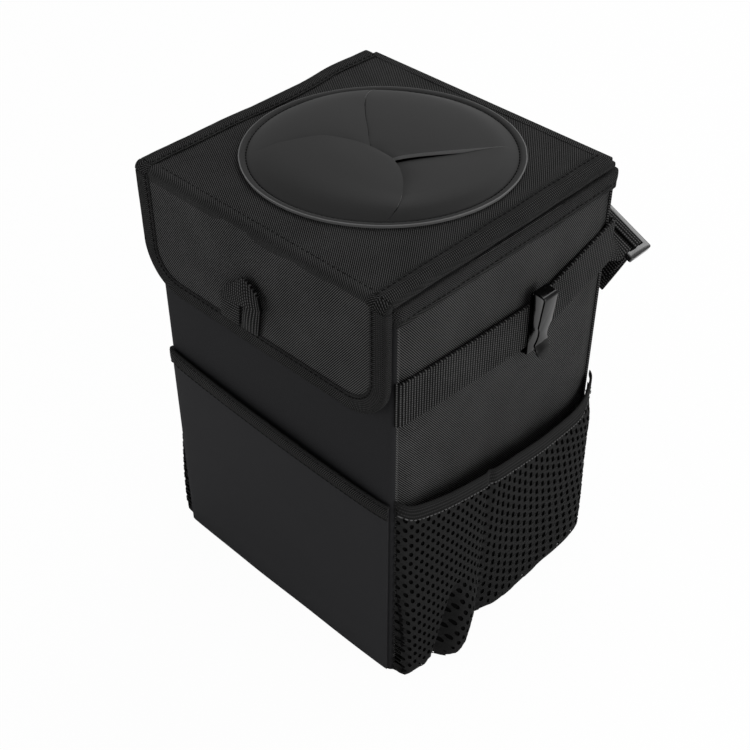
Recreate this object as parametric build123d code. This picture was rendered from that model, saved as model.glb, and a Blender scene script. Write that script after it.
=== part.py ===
from build123d import *
import math
import os

os.makedirs("parts", exist_ok=True)

# A square cloth bin for a car, stiffened with boards, with a hinged lid and a front flap.
# The origin is the middle of the underside. The front faces -Y, the lid's hinge is at +Y.

# Overall size, over the cloth walls and up to the lid's top
WIDTH = 162.0
DEPTH = 154.0
HEIGHT = 245.0

# Layers of the walls, the lid and the flap
CLOTH = 1.0
WALL_BOARD = 2.0
BASE_BOARD = 2.5
LINER = 0.8
LID_BOARD = 2.0
LINING = 0.8
FLAP_BOARD = 1.2
CORNER_RADIUS = 4.0
LEAST_RADIUS = 0.4
SEAM_GAP = 0.5
SIDE_ROLL = 9.0
SIDE_DIP = 1.6
BOARD_INSET = 3.0
BOARD_TOP_GAP = 4.0

# Woven tape that binds the raw edges
TAPE = 0.8
RIM_TAPE_HEIGHT = 11.0
LID_TAPE_WIDTH = 11.0
FLAP_TAPE_WIDTH = 10.0
HINGE_TAPE_GAP = 3.5
LID_TAPE_OVERHANG = 0.5

# Clearances
LID_GAP = 0.2
HINGE_GAP = 0.2
STRAP_CLEAR = 0.3
CLIP_CLEAR = 0.35
SLOT_CLEAR = 0.25

# Lid and flap
FLAP_STAND_OFF = 3.0
FLAP_DROP = 68.0
FLAP_RADIUS = 24.0
LID_HOLE_RADIUS = 57.0
LID_EDGE_INSET = 1.5

# Slit disc of soft sheet over the lid's hole
DISC_RADIUS = 66.0
DISC_SHEET = 2.0
DISC_RIM = 4.0
DISC_GROOVE_WIDTH = 0.8
DISC_GROOVE_DEPTH = 0.8
DOME_HEIGHT = 8.0
DOME_CENTRE_DROP = 2.5
DOME_CROWN_SHARE = 0.47
DOME_RINGS = 3
DOME_UNDER_RINGS = 2
SLIT_LENGTH = 55.0
SLIT_WIDTH = 0.8
SLIT_COUNT = 4
SLIT_START_ANGLE = 45.0

# Hook and loop closure
CLOSURE_LENGTH = 100.0
CLOSURE_HEIGHT = 20.0
CLOSURE_THICKNESS = 1.3
CLOSURE_ABOVE_TAPE = 2.0

# Pull loop on the flap
LOOP_LEG_WIDTH = 13.0
LOOP_LEG_GAP = 1.0
LOOP_HEIGHT = 25.0
LOOP_PEAK = 9.0
LOOP_THICKNESS = 1.6
LOOP_BOW = 3.0
LOOP_OFFSET = -10.0

# Front pocket
FRONT_POCKET_LEFT = 132.0
FRONT_POCKET_RIGHT = 125.0
FRONT_POCKET_EDGE = 2.5
FRONT_POCKET_BULGE = 2.6
FRONT_POCKET_SQUARE = 2.0
FRONT_POCKET_POINTS = 7
FRONT_TAPE_HEIGHT = 10.5

# Mesh pockets on the sides, with an elastic hem
POCKET_SHEET = 1.2
POCKET_EDGE = 1.5
POCKET_HEM_FRONT = 125.0
POCKET_HEM_BACK = 104.0
POCKET_HEM_SAG = 3.0
POCKET_HEM_HEIGHT = 10.0
HEM_EXTRA = 0.4
POCKET_BULGE = 10.5
POCKET_FOOT_BULGE = 6.0
POCKET_FOOT_FADE = 6
POCKET_LEVELS = 4
POCKET_SQUARE_TOP = 2.2
POCKET_SQUARE_FOOT = 3.0
POUCH_BULGE = 8.0
POUCH_PLACE = -54.0
POUCH_WIDTH = 14.0
POUCH_LEVEL = 0.12
POUCH_SPREAD = 0.25
PLEAT_DEPTH = 2.5
PLEAT_PLACE = -30.0
PLEAT_WIDTH = 5.0
MESH_HOLE_WIDTH = 8.0
MESH_HOLE_HEIGHT = 10.0
MESH_PITCH_Y = 14.0
MESH_PITCH_Z = 9.4
MESH_MARGIN = 8.0
MESH_FIRST_ROW = 19.0

# Webbing straps
WEBBING = 1.5
WEBBING_WIDTH = 25.0
STRAP_FRONT_DROP = 55.0
STRAP_CLIP_DROP = 64.0
STRAP_BACK_DROP = 46.0
STRAP_BOW = 1.6
STRAP_TURN_RADIUS = 4.5
BACK_STRAP_HANG = 89.0
BACK_STRAP_LOW_X = 22.0
BACK_STRAP_TAIL = 42.0

# Strap adjuster, a flat plastic frame with two slots
ADJUSTER_IN = 7.5
ADJUSTER_DROP = 53.5
ADJUSTER_BACK = 10.5
ADJUSTER_TILT = 25.0
ADJUSTER_LENGTH = 34.0
ADJUSTER_THICKNESS = 3.5
ADJUSTER_BAR = 3.0
ADJUSTER_NEAR_SLOT = 4.5
ADJUSTER_FAR_SLOT = 3.0
ADJUSTER_ROUND = 1.2

# Bag clips bent from steel strip
CLIP_Y = 15.5
CLIP_WIDTH = 9.5
CLIP_STEEL = 0.9
CLIP_LEG_GAP = 5.6
CLIP_TOP_RISE = 11.0
CLIP_DIP = 2.4
CLIP_BEND = 1.0
CLIP_TONGUE = 6.5
CLIP_WAIST = 1.5
CLIP_WAIST_RADIUS = 10.0
CLIP_WAIST_HEIGHT = 13.5

# Levels and faces worked out from the sizes above
HALF_X = WIDTH / 2
HALF_Y = DEPTH / 2
LID_THICKNESS = CLOTH + LID_BOARD + LINING
LID_UNDER = HEIGHT - LID_THICKNESS
WALL_TOP = LID_UNDER - LID_GAP - TAPE
BOARD_TOP = WALL_TOP - BOARD_TOP_GAP
BASE_TOP = CLOTH + BASE_BOARD
LINER_OFFSET = CLOTH + WALL_BOARD
FLAP_THICKNESS = CLOTH + FLAP_BOARD + LINING
FLAP_INNER = -HALF_Y - FLAP_STAND_OFF
FLAP_OUTER = FLAP_INNER - FLAP_THICKNESS
FLAP_BOTTOM = HEIGHT - FLAP_DROP
STRAP_FACE = HALF_X + STRAP_CLEAR
STRAP_FRONT_Z = HEIGHT - STRAP_FRONT_DROP
STRAP_CLIP_Z = HEIGHT - STRAP_CLIP_DROP
STRAP_BACK_Z = HEIGHT - STRAP_BACK_DROP
BACK_STRAP_LOW_Z = HEIGHT - BACK_STRAP_HANG
ADJUSTER_X = HALF_X - ADJUSTER_IN
ADJUSTER_Z = HEIGHT - ADJUSTER_DROP


def rounded_prism(grow, bottom, top):
    """The box's plan, grown by a distance on every side, between two levels."""
    radius = max(CORNER_RADIUS + grow, LEAST_RADIUS)
    plan = RectangleRounded(WIDTH + 2 * grow, DEPTH + 2 * grow, radius)
    return extrude(Pos(0, 0, bottom) * plan, top - bottom)


def block(x0, x1, y0, y1, z0, z1):
    """A block between two corners."""
    size = Box(x1 - x0, y1 - y0, z1 - z0)
    return Pos((x0 + x1) / 2, (y0 + y1) / 2, (z0 + z1) / 2) * size


def mirrored(shape):
    """The same piece on the other side."""
    return mirror(shape, about=Plane.YZ)


def strip_along(line, left, right, count=12):
    """A strip beside a smooth line, between two distances to its left."""
    near = []
    far = []
    for index in range(count + 1):
        place = line @ (index / count)
        direction = line % (index / count)
        normal = Vector(-direction.Y, direction.X)
        near.append(place + normal * left)
        far.append(place + normal * right)
    first = Spline(*near)
    second = Spline(*reversed(far))
    return make_face([first, Line(first @ 1, second @ 0), second, Line(second @ 1, first @ 0)])


def side_panel():
    """The right wall's cloth, drawn in towards the seams at its two ends."""
    end = HALF_Y - CORNER_RADIUS - SEAM_GAP
    lines = []
    for face in (HALF_X, HALF_X - CLOTH):
        seam = (face - SIDE_DIP, end)
        middle = (face - SIDE_DIP / 2, end - SIDE_ROLL / 2)
        leave = TangentArc(seam, middle, tangent=(0, -1))
        meet = TangentArc((face, end - SIDE_ROLL), middle, tangent=(0, 1))
        flat = Line((face, end - SIDE_ROLL), (face, 0))
        back_half = [leave, meet, flat]
        lines.append([*back_half, *(mirror(edge, about=Plane.XZ) for edge in back_half)])
    outer, inner = lines
    ends = [Line((HALF_X - SIDE_DIP, way), (HALF_X - SIDE_DIP - CLOTH, way)) for way in (-end, end)]
    return extrude(Pos(0, 0, CLOTH) * make_face([*outer, *inner, *ends]), WALL_TOP - CLOTH)


def wall_panels():
    """Four cloth walls. Front and back turn the corners, the sides are sewn in between them."""
    ring = rounded_prism(0, CLOTH, WALL_TOP) - rounded_prism(-CLOTH, 0, HEIGHT)
    seam = HALF_Y - CORNER_RADIUS
    front = ring & block(-HALF_X, HALF_X, -HALF_Y, -seam, 0, HEIGHT)
    back = ring & block(-HALF_X, HALF_X, seam, HALF_Y, 0, HEIGHT)
    straight = HALF_X - CORNER_RADIUS
    fold = block(-straight, straight, HALF_Y - CLOTH, HALF_Y, WALL_TOP, HEIGHT)
    right = side_panel()
    return {
        "front_panel": front,
        "back_panel": back + fold,
        "right_panel": right,
        "left_panel": mirrored(right),
    }


def stiffening_boards():
    """One board behind each wall and one on the floor of the bin."""
    long_x = HALF_X - CLOTH - BOARD_INSET
    long_y = HALF_Y - CORNER_RADIUS - SEAM_GAP - SIDE_ROLL
    face_x = HALF_X - CLOTH
    face_y = HALF_Y - CLOTH
    front = block(-long_x, long_x, -face_y, -face_y + WALL_BOARD, BASE_TOP, BOARD_TOP)
    back = block(-long_x, long_x, face_y - WALL_BOARD, face_y, BASE_TOP, BOARD_TOP)
    right = block(face_x - WALL_BOARD, face_x, -long_y, long_y, BASE_TOP, BOARD_TOP)
    return {
        "base_board": rounded_prism(-CLOTH - SIDE_DIP, CLOTH, BASE_TOP),
        "front_board": front,
        "back_board": back,
        "right_board": right,
        "left_board": mirrored(right),
    }


def waterproof_liner():
    """An open bag of thin sheet inside the boards."""
    outside = rounded_prism(-LINER_OFFSET, BASE_TOP, WALL_TOP)
    inside = rounded_prism(-LINER_OFFSET - LINER, BASE_TOP + LINER, HEIGHT)
    return outside - inside


def rim_tape():
    """Tape folded over the top edge of the front and the two sides."""
    wall = rounded_prism(0, 0, WALL_TOP) - rounded_prism(-LINER_OFFSET - LINER, -1, HEIGHT)
    tape = rounded_prism(TAPE, WALL_TOP + TAPE - RIM_TAPE_HEIGHT, WALL_TOP + TAPE)
    tape -= rounded_prism(-LINER_OFFSET - LINER - TAPE, 0, HEIGHT)
    behind = block(-WIDTH, WIDTH, HALF_Y - CLOTH - HINGE_GAP, DEPTH, 0, HEIGHT)
    within = block(-HALF_X + CORNER_RADIUS, HALF_X - CORNER_RADIUS, 0, DEPTH, 0, HEIGHT)
    return tape - wall - behind - within


def lid_plate(inset, bottom, thickness):
    """One layer of the lid with the round hole through it."""
    front = FLAP_OUTER + CLOTH if inset == 0 else FLAP_INNER + HINGE_GAP + inset
    back = HALF_Y - CLOTH - HINGE_GAP - inset
    plate = block(-HALF_X + inset, HALF_X - inset, front, back, bottom, bottom + thickness)
    return plate - Pos(0, 0, bottom) * Cylinder(LID_HOLE_RADIUS, 4 * thickness)


def lid_layers():
    """Cloth above, a board, and a lining below."""
    lining = lid_plate(LID_EDGE_INSET, LID_UNDER, LINING)
    board = lid_plate(LID_EDGE_INSET, LID_UNDER + LINING, LID_BOARD)
    cloth = lid_plate(0, HEIGHT - CLOTH, CLOTH)
    return {"lid_lining": lining, "lid_board": board, "lid_top_panel": cloth}


def lid_tape():
    """Tape folded over the left and right edges of the lid."""
    front = FLAP_INNER + LID_TAPE_OVERHANG
    back = HALF_Y - CLOTH - HINGE_TAPE_GAP
    outer = HALF_X + TAPE
    inner = outer - LID_TAPE_WIDTH
    over = block(inner, outer, front, back, HEIGHT - CLOTH - LID_BOARD, HEIGHT + TAPE)
    over -= block(0, HALF_X, -DEPTH, DEPTH, 0, HEIGHT)
    edge = block(HALF_X - LID_EDGE_INSET, HALF_X, front + HINGE_TAPE_GAP, back, LID_UNDER, HEIGHT - CLOTH)
    turned = over + edge
    return turned + mirrored(turned)


def flap_outline(grow):
    """The flap's outline seen from the front, rounded at its two lower corners."""
    half = HALF_X + grow
    bottom = FLAP_BOTTOM + TAPE - grow
    radius = FLAP_RADIUS + grow
    corners = [(-half, HEIGHT), (-half, bottom), (half, bottom), (half, HEIGHT)]
    side = FilletPolyline(*corners, radius=radius)
    return make_face([*side.edges(), Line(corners[3], corners[0])])


def flap_plate(grow, outer, inner):
    """A plate of the flap's outline between two distances from the middle of the bin."""
    face = Plane.XZ.offset(-inner) * flap_outline(grow)
    return extrude(face, inner - outer)


def flap_layers():
    """Cloth outside, a board, and a lining inside, all below the fold."""
    board_face = FLAP_OUTER + CLOTH
    lining_face = board_face + FLAP_BOARD
    under_lid = block(-WIDTH, WIDTH, -DEPTH, 0, HEIGHT - CLOTH - HINGE_GAP, 2 * HEIGHT)
    return {
        "flap_panel": flap_plate(0, FLAP_OUTER, board_face - HINGE_GAP / 2),
        "flap_board": flap_plate(-TAPE, board_face - HINGE_GAP / 2, lining_face) - under_lid,
        "flap_lining": flap_plate(0, lining_face, FLAP_INNER) - under_lid,
    }


def flap_tape():
    """Tape folded over the flap's sides and bottom."""
    tape = flap_plate(TAPE, FLAP_OUTER - TAPE, FLAP_INNER + TAPE)
    tape -= flap_plate(0, FLAP_OUTER, FLAP_INNER)
    tape -= flap_plate(TAPE - FLAP_TAPE_WIDTH, -DEPTH, 0)
    above = block(-WIDTH, WIDTH, -DEPTH, 0, HEIGHT - HINGE_TAPE_GAP, 2 * HEIGHT)
    return tape - above


def closure_strips():
    """Loop strip on the wall and hook strip on the flap's lining."""
    low = FLAP_BOTTOM + FLAP_TAPE_WIDTH + CLOSURE_ABOVE_TAPE
    high = low + CLOSURE_HEIGHT
    half = CLOSURE_LENGTH / 2
    loop = block(-half, half, -HALF_Y - CLOSURE_THICKNESS, -HALF_Y, low, high)
    hook = block(-half, half, FLAP_INNER, FLAP_INNER + CLOSURE_THICKNESS, low, high)
    return {"front_loop_strip": loop, "flap_hook_strip": hook}


def pull_loop():
    """Webbing folded to a point, its two legs sewn side by side above the flap's tape."""
    foot = FLAP_BOTTOM + FLAP_TAPE_WIDTH
    half = LOOP_LEG_WIDTH + LOOP_LEG_GAP / 2
    shoulder = foot + LOOP_HEIGHT - LOOP_PEAK
    peak = (LOOP_OFFSET, foot + LOOP_HEIGHT)
    left = LOOP_OFFSET - half
    right = LOOP_OFFSET + half
    outline = Polyline((left, foot), (left, shoulder), peak, (right, shoulder), (right, foot), close=True)
    front = extrude(Plane.XZ * make_face(outline), DEPTH)
    slit_top = shoulder - LOOP_LEG_GAP
    slit = block(LOOP_OFFSET - LOOP_LEG_GAP / 2, LOOP_OFFSET + LOOP_LEG_GAP / 2, -DEPTH, 0, foot, slit_top)
    far = FLAP_OUTER - LOOP_BOW
    top = foot + LOOP_HEIGHT
    face = TangentArc((far, top), (FLAP_OUTER, foot), tangent=(0, -1))
    back = TangentArc((far - LOOP_THICKNESS, top), (FLAP_OUTER - LOOP_THICKNESS, foot), tangent=(0, -1))
    strip = make_face([face, Line(face @ 1, back @ 1), back, Line(back @ 0, face @ 0)])
    bowed = extrude(Plane.YZ.offset(-HALF_X) * strip, WIDTH)
    return (bowed & front) - slit


def dome_points(foot, level, rings):
    """Points of the dome from its foot over the petals' crown and down to the middle."""
    crown = (DISC_RADIUS * DOME_CROWN_SHARE, level + DOME_HEIGHT)
    rise = []
    for index in range(rings):
        angle = math.pi / 2 * index / rings
        along = foot[0] + (crown[0] - foot[0]) * (1 - math.cos(angle))
        rise.append((along, foot[1] + (crown[1] - foot[1]) * math.sin(angle)))
    return [*rise, crown, (crown[0] / 2, crown[1] - DOME_CENTRE_DROP / 4), (0, crown[1] - DOME_CENTRE_DROP)]


def dome_profile():
    """Half section of the disc: a flat rim, a stitched groove and a soft dome."""
    rim = DISC_RADIUS - DISC_RIM
    top = HEIGHT + DISC_SHEET
    groove_level = top - DISC_GROOVE_DEPTH
    under = dome_points((rim - DISC_GROOVE_DEPTH, HEIGHT), HEIGHT, DOME_UNDER_RINGS)
    over = dome_points((rim, groove_level), top, DOME_RINGS)
    edge = [
        (DISC_RADIUS, HEIGHT),
        (DISC_RADIUS, top),
        (rim + DISC_GROOVE_WIDTH, top),
        (rim + DISC_GROOVE_WIDTH, groove_level),
    ]
    return make_face(Polyline(*edge, *over, *reversed(under), close=True))


def slit_disc():
    """One round sheet with straight slits from its middle, which make four petals."""
    disc = revolve(Plane.XZ * dome_profile(), Axis.Z)
    slit = block(-SLIT_WIDTH / 2, SLIT_LENGTH, -SLIT_WIDTH / 2, SLIT_WIDTH / 2, HEIGHT - 1, 2 * HEIGHT)
    for index in range(SLIT_COUNT):
        disc -= Rot(0, 0, SLIT_START_ANGLE + index * 360 / SLIT_COUNT) * slit
    return disc


def bump(place, centre, width):
    """A smooth rise of height one about a centre."""
    return math.exp(-(((place - centre) / width) ** 2))


def arched_points(half, bulge, square, lift=None, count=13):
    """Points of a flat arch that leaves a wall squarely, from one seam to the other."""
    points = []
    for index in range(count):
        angle = math.pi * index / (count - 1)
        along = -half * math.copysign(abs(math.cos(angle)) ** (2 / square), math.cos(angle))
        out = bulge * math.sin(angle) ** (2 / square)
        if lift and 0 < index < count - 1:
            out += lift(along) * math.sin(angle)
        points.append((along, out))
    return points


def sheet_section(points, sheet, outward):
    """A closed strip one sheet thick inside an arch, drawn as (out, along) beside a wall."""
    inner = []
    for index in range(1, len(points) - 1):
        before = Vector(*points[index - 1])
        after = Vector(*points[index + 1])
        along = (after - before).normalized()
        normal = Vector(along.Y, -along.X)
        inner.append(Vector(*points[index]) + normal * sheet)
    first = Vector(points[0][0] + sheet, 0)
    last = Vector(points[-1][0] - sheet, 0)
    return outward * make_face(Polyline(*points, last, *reversed(inner), first, close=True))


def side_plane(height):
    """A level plane whose X runs back along the right wall and whose Y runs out from it."""
    return Plane(origin=(HALF_X, 0, height), x_dir=(0, 1, 0), z_dir=(0, 0, -1))


def front_plane(height):
    """A level plane whose X runs along the front wall and whose Y runs out from it."""
    return Plane(origin=(0, -HALF_Y, height), x_dir=(1, 0, 0), z_dir=(0, 0, -1))


def hem_lines(front, back, sag, height, half):
    """The outline of a band between two seams: straight or sagging, of one height."""
    lower = Spline((-half, front - height), (0, (front + back) / 2 - sag - height), (half, back - height))
    upper = Spline((half, back), (0, (front + back) / 2 - sag), (-half, front))
    return make_face([lower, Line(lower @ 1, upper @ 0), upper, Line(upper @ 1, lower @ 0)])


def below_band(front, back, sag, height, half):
    """The outline of all that lies under a band."""
    lower = Spline((half, back - height), (0, (front + back) / 2 - sag - height), (-half, front - height))
    floor = Polyline(lower @ 1, (-half, 0), (half, 0), lower @ 0)
    return make_face([lower, *floor.edges()])


def pocket_arch(bulge, square, pouch, pleat, inset=0.0):
    """The plan line of the mesh pocket at one level, with its pouch and its pleat."""

    def folds(along):
        pouch_rise = pouch * bump(along, POUCH_PLACE, POUCH_WIDTH)
        return pouch_rise - pleat * bump(along, PLEAT_PLACE, PLEAT_WIDTH)

    return arched_points(HALF_Y - POCKET_EDGE - inset, bulge - inset, square, folds)


def mesh_section(share):
    """The mesh pocket cut level at a share of its height."""
    top = POCKET_HEM_FRONT + CLOTH
    bulge = POCKET_BULGE - (POCKET_BULGE - POCKET_FOOT_BULGE) * (1 - share) ** POCKET_FOOT_FADE
    square = POCKET_SQUARE_FOOT + (POCKET_SQUARE_TOP - POCKET_SQUARE_FOOT) * share
    pouch = POUCH_BULGE * bump(share, POUCH_LEVEL, POUCH_SPREAD)
    pleat = PLEAT_DEPTH * math.sin(math.pi * share) ** 2
    points = pocket_arch(bulge, square, pouch, pleat)
    return sheet_section(points, POCKET_SHEET, side_plane(CLOTH + (top - CLOTH) * share))


def mesh_holes():
    """Staggered diamond holes through the pocket, as a list of cutters."""
    half = HALF_Y - POCKET_EDGE - MESH_MARGIN
    rows = int((POCKET_HEM_FRONT - POCKET_HEM_HEIGHT - 2 * MESH_MARGIN) // MESH_PITCH_Z)
    wide = MESH_HOLE_WIDTH / 2
    tall = MESH_HOLE_HEIGHT / 2
    hole = Polyline((-wide, 0), (0, -tall), (wide, 0), (0, tall), close=True)
    cutter = extrude(Plane.YZ.offset(HALF_X + CLOTH) * make_face(hole), 3 * POCKET_BULGE)
    holes = []
    for row in range(rows + 1):
        height = MESH_FIRST_ROW + row * MESH_PITCH_Z
        shift = (row % 2) * MESH_PITCH_Y / 2
        columns = int((2 * half - shift) // MESH_PITCH_Y)
        for column in range(columns + 1):
            place = -half + shift + column * MESH_PITCH_Y
            share = (place + HALF_Y) / DEPTH
            hem = POCKET_HEM_FRONT + (POCKET_HEM_BACK - POCKET_HEM_FRONT) * share
            sagging = hem - POCKET_HEM_SAG * (1 - (2 * share - 1) ** 2)
            if height + MESH_HOLE_HEIGHT < sagging - POCKET_HEM_HEIGHT:
                holes.append(Pos(0, place, height) * cutter)
    return holes


def mesh_pocket():
    """A pocket of open mesh that bulges from the right wall, with its elastic hem."""
    shell = loft([mesh_section(level / POCKET_LEVELS) for level in range(POCKET_LEVELS + 1)], ruled=True)
    pouch = POUCH_BULGE * bump(0, POUCH_LEVEL, POUCH_SPREAD)
    foot = pocket_arch(POCKET_FOOT_BULGE, POCKET_SQUARE_FOOT, pouch, 0, POCKET_SHEET / 2)
    floor = side_plane(CLOTH) * make_face(Polyline(*foot, close=True))
    hem_sizes = (POCKET_HEM_FRONT, POCKET_HEM_BACK, POCKET_HEM_SAG, POCKET_HEM_HEIGHT, HALF_Y)
    under = extrude(Plane.YZ * below_band(*hem_sizes), WIDTH)
    mesh = (shell & under) + extrude(floor, -POCKET_SHEET) - mesh_holes()
    line = pocket_arch(POCKET_BULGE + HEM_EXTRA, POCKET_SQUARE_TOP, 0, 0)
    strip = sheet_section(line, POCKET_SHEET + 2 * HEM_EXTRA, side_plane(0))
    hem = extrude(strip, -HEIGHT) & extrude(Plane.YZ * hem_lines(*hem_sizes), WIDTH)
    return mesh, hem


def front_pocket():
    """A flat cloth pocket on the front with a tape along its slanting mouth."""
    half = HALF_X - FRONT_POCKET_EDGE
    points = arched_points(half, FRONT_POCKET_BULGE, FRONT_POCKET_SQUARE, count=FRONT_POCKET_POINTS)
    cloth = extrude(sheet_section(points, CLOTH, front_plane(CLOTH)), -HEIGHT)
    wide_bulge = FRONT_POCKET_BULGE + TAPE
    tape_points = arched_points(half + TAPE, wide_bulge, FRONT_POCKET_SQUARE, count=FRONT_POCKET_POINTS)
    tape = extrude(sheet_section(tape_points, CLOTH + 2 * TAPE, front_plane(CLOTH)), -HEIGHT)
    mouth = (FRONT_POCKET_LEFT, FRONT_POCKET_RIGHT, 0, FRONT_TAPE_HEIGHT, HALF_X)
    wall = rounded_prism(0, 0, HEIGHT)
    pocket = (cloth & extrude(Plane.XZ * below_band(*mouth), DEPTH)) - wall
    band = (tape & extrude(Plane.XZ * hem_lines(*mouth), DEPTH)) - wall
    return {"front_pocket": pocket, "front_pocket_tape": band}


def side_strap(end):
    """Webbing along the right wall from the front seam to an end, sagging under the clip."""
    start = -HALF_Y + CORNER_RADIUS
    plan = Spline(
        (STRAP_FACE, start),
        (STRAP_FACE + STRAP_BOW, CLIP_Y),
        (STRAP_FACE, end),
        tangents=[(0, 1), (0, 1)],
    )
    ribbon = extrude(strip_along(plan, -WEBBING, 0), HEIGHT)
    half = WEBBING_WIDTH / 2
    upper = Polyline((start, STRAP_FRONT_Z + half), (CLIP_Y, STRAP_CLIP_Z + half), (end, STRAP_BACK_Z + half))
    lower = Polyline((end, STRAP_BACK_Z - half), (CLIP_Y, STRAP_CLIP_Z - half), (start, STRAP_FRONT_Z - half))
    ends = [Line(upper @ 1, lower @ 0), Line(lower @ 1, upper @ 0)]
    outline = make_face([*upper.edges(), *lower.edges(), *ends])
    band = extrude(Plane.YZ * outline, WIDTH)
    return ribbon & band


def adjuster_plane(y):
    """A plane across the adjuster: X runs along its bars, down to the right, and Y stands on its face."""
    tilt = math.radians(ADJUSTER_TILT)
    along = Vector(math.cos(tilt), 0, -math.sin(tilt))
    return Plane(origin=(ADJUSTER_X, y, ADJUSTER_Z), x_dir=along, z_dir=(0, -1, 0))


ADJUSTER_NEAR = HALF_Y + ADJUSTER_BACK
NEAR_SLOT_START = ADJUSTER_NEAR + ADJUSTER_BAR
CENTRE_BAR_START = NEAR_SLOT_START + ADJUSTER_NEAR_SLOT
FAR_SLOT_START = CENTRE_BAR_START + ADJUSTER_BAR
FAR_BAR_START = FAR_SLOT_START + ADJUSTER_FAR_SLOT
ADJUSTER_END = FAR_BAR_START + ADJUSTER_BAR


def along_adjuster(half_width, y0, y1, low, high):
    """A block in the adjuster's own slanting frame."""
    plane = adjuster_plane(y0)
    face = plane * (Pos(0, (low + high) / 2) * Rectangle(2 * half_width, high - low))
    return extrude(face, -(y1 - y0))


def strap_adjuster():
    """The frame with rounded ends, its near slot wide enough for two straps."""
    half = ADJUSTER_LENGTH / 2
    thick = ADJUSTER_THICKNESS / 2
    frame = along_adjuster(half, ADJUSTER_NEAR, ADJUSTER_END, -thick, thick)
    face_normal = adjuster_plane(0).y_dir
    corners = [edge for edge in frame.edges() if abs(edge.tangent_at(0).dot(face_normal)) > 0.99]
    frame = fillet(corners, ADJUSTER_ROUND)
    slot_half = WEBBING_WIDTH / 2 + 2 * SLOT_CLEAR
    frame -= along_adjuster(slot_half, NEAR_SLOT_START, CENTRE_BAR_START, -2 * thick, 2 * thick)
    frame -= along_adjuster(slot_half, FAR_SLOT_START, FAR_BAR_START, -2 * thick, 2 * thick)
    return frame


def twisted_webbing():
    """The stretch that leaves the back edge upright and turns to lie on the adjuster."""
    above = ADJUSTER_THICKNESS / 2 + SLOT_CLEAR + WEBBING / 2
    tilt = math.radians(ADJUSTER_TILT)
    first = Vector(STRAP_FACE + WEBBING / 2, HALF_Y, STRAP_BACK_Z)
    last = Vector(ADJUSTER_X + above * math.sin(tilt), ADJUSTER_NEAR, ADJUSTER_Z + above * math.cos(tilt))
    steps = 5
    faces = []
    for index in range(steps):
        share = index / (steps - 1)
        eased = share * share * (3 - 2 * share)
        middle = first + (last - first) * eased
        place = first.Y + (last.Y - first.Y) * share
        turn = (1 - eased) * (math.pi / 2 - tilt)
        angle = tilt + turn
        across = Vector(math.cos(angle), 0, -math.sin(angle))
        plane = Plane(origin=(middle.X, place, middle.Z), x_dir=across, z_dir=(0, -1, 0))
        faces.append(plane * Rectangle(WEBBING_WIDTH, WEBBING))
    return loft(faces, ruled=True)


def right_strap():
    """The right strap: along the wall, twisted, and sewn in a loop round the near bar."""
    half = WEBBING_WIDTH / 2
    low = ADJUSTER_THICKNESS / 2 + SLOT_CLEAR
    high = low + WEBBING
    turn_start = NEAR_SLOT_START + SLOT_CLEAR
    turn_end = turn_start + WEBBING
    over = along_adjuster(half, ADJUSTER_NEAR, turn_end, low, high)
    down = along_adjuster(half, turn_start, turn_end, -high, high)
    under = along_adjuster(half, ADJUSTER_NEAR - 2 * WEBBING, turn_end, -high, -low)
    return side_strap(HALF_Y) + twisted_webbing() + over + down + under


def back_strap():
    """The left strap: along the wall, behind the bin in a hanging bow, and through the adjuster."""
    seam = HALF_Y - CORNER_RADIUS
    left = mirrored(side_strap(seam))
    half = WEBBING_WIDTH / 2
    tilt = math.radians(ADJUSTER_TILT)
    strand = CENTRE_BAR_START - SLOT_CLEAR - WEBBING
    corner_x = -STRAP_FACE - WEBBING
    corner_y = HALF_Y + STRAP_CLEAR + WEBBING
    bow_start = corner_x + WEBBING + STRAP_TURN_RADIUS
    route = FilletPolyline(
        (corner_x, seam), (corner_x, corner_y), (bow_start, corner_y), radius=STRAP_TURN_RADIUS
    )
    turn = make_face(offset(route, amount=WEBBING, side=Side.RIGHT))
    back_low = STRAP_BACK_Z - half
    corner = extrude(Pos(0, 0, back_low) * turn, WEBBING_WIDTH)
    near_end = ADJUSTER_X - ADJUSTER_LENGTH
    lead = Spline((bow_start, corner_y - WEBBING), (near_end, strand), tangents=[(1, 0), (1, 0)])
    ribbon = extrude(strip_along(lead, WEBBING, 0), HEIGHT)
    ribbon += block(near_end, WIDTH, strand, strand + WEBBING, 0, HEIGHT)
    reach = ADJUSTER_THICKNESS / 2
    end = (ADJUSTER_X - reach * math.sin(tilt), ADJUSTER_Z - reach * math.cos(tilt))
    points = [
        (bow_start, STRAP_BACK_Z),
        (BACK_STRAP_LOW_X - 2 * WEBBING_WIDTH, (STRAP_BACK_Z + 2 * BACK_STRAP_LOW_Z) / 3),
        (BACK_STRAP_LOW_X, BACK_STRAP_LOW_Z),
        end,
    ]
    middle = Spline(*points, tangents=[(1, 0), (math.sin(tilt), math.cos(tilt))])
    outline = strip_along(middle, half, -half)
    bow = ribbon & extrude(Plane.XZ * outline, -2 * DEPTH)
    top = ADJUSTER_THICKNESS / 2 + SLOT_CLEAR + WEBBING
    tail_start = FAR_SLOT_START + SLOT_CLEAR
    rise = along_adjuster(half, strand, strand + WEBBING, -reach, top)
    over = along_adjuster(half, strand, tail_start + WEBBING, top - WEBBING, top)
    tail = along_adjuster(half, tail_start, tail_start + WEBBING, -BACK_STRAP_TAIL, top)
    return left + corner + bow + rise + over + tail


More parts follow.
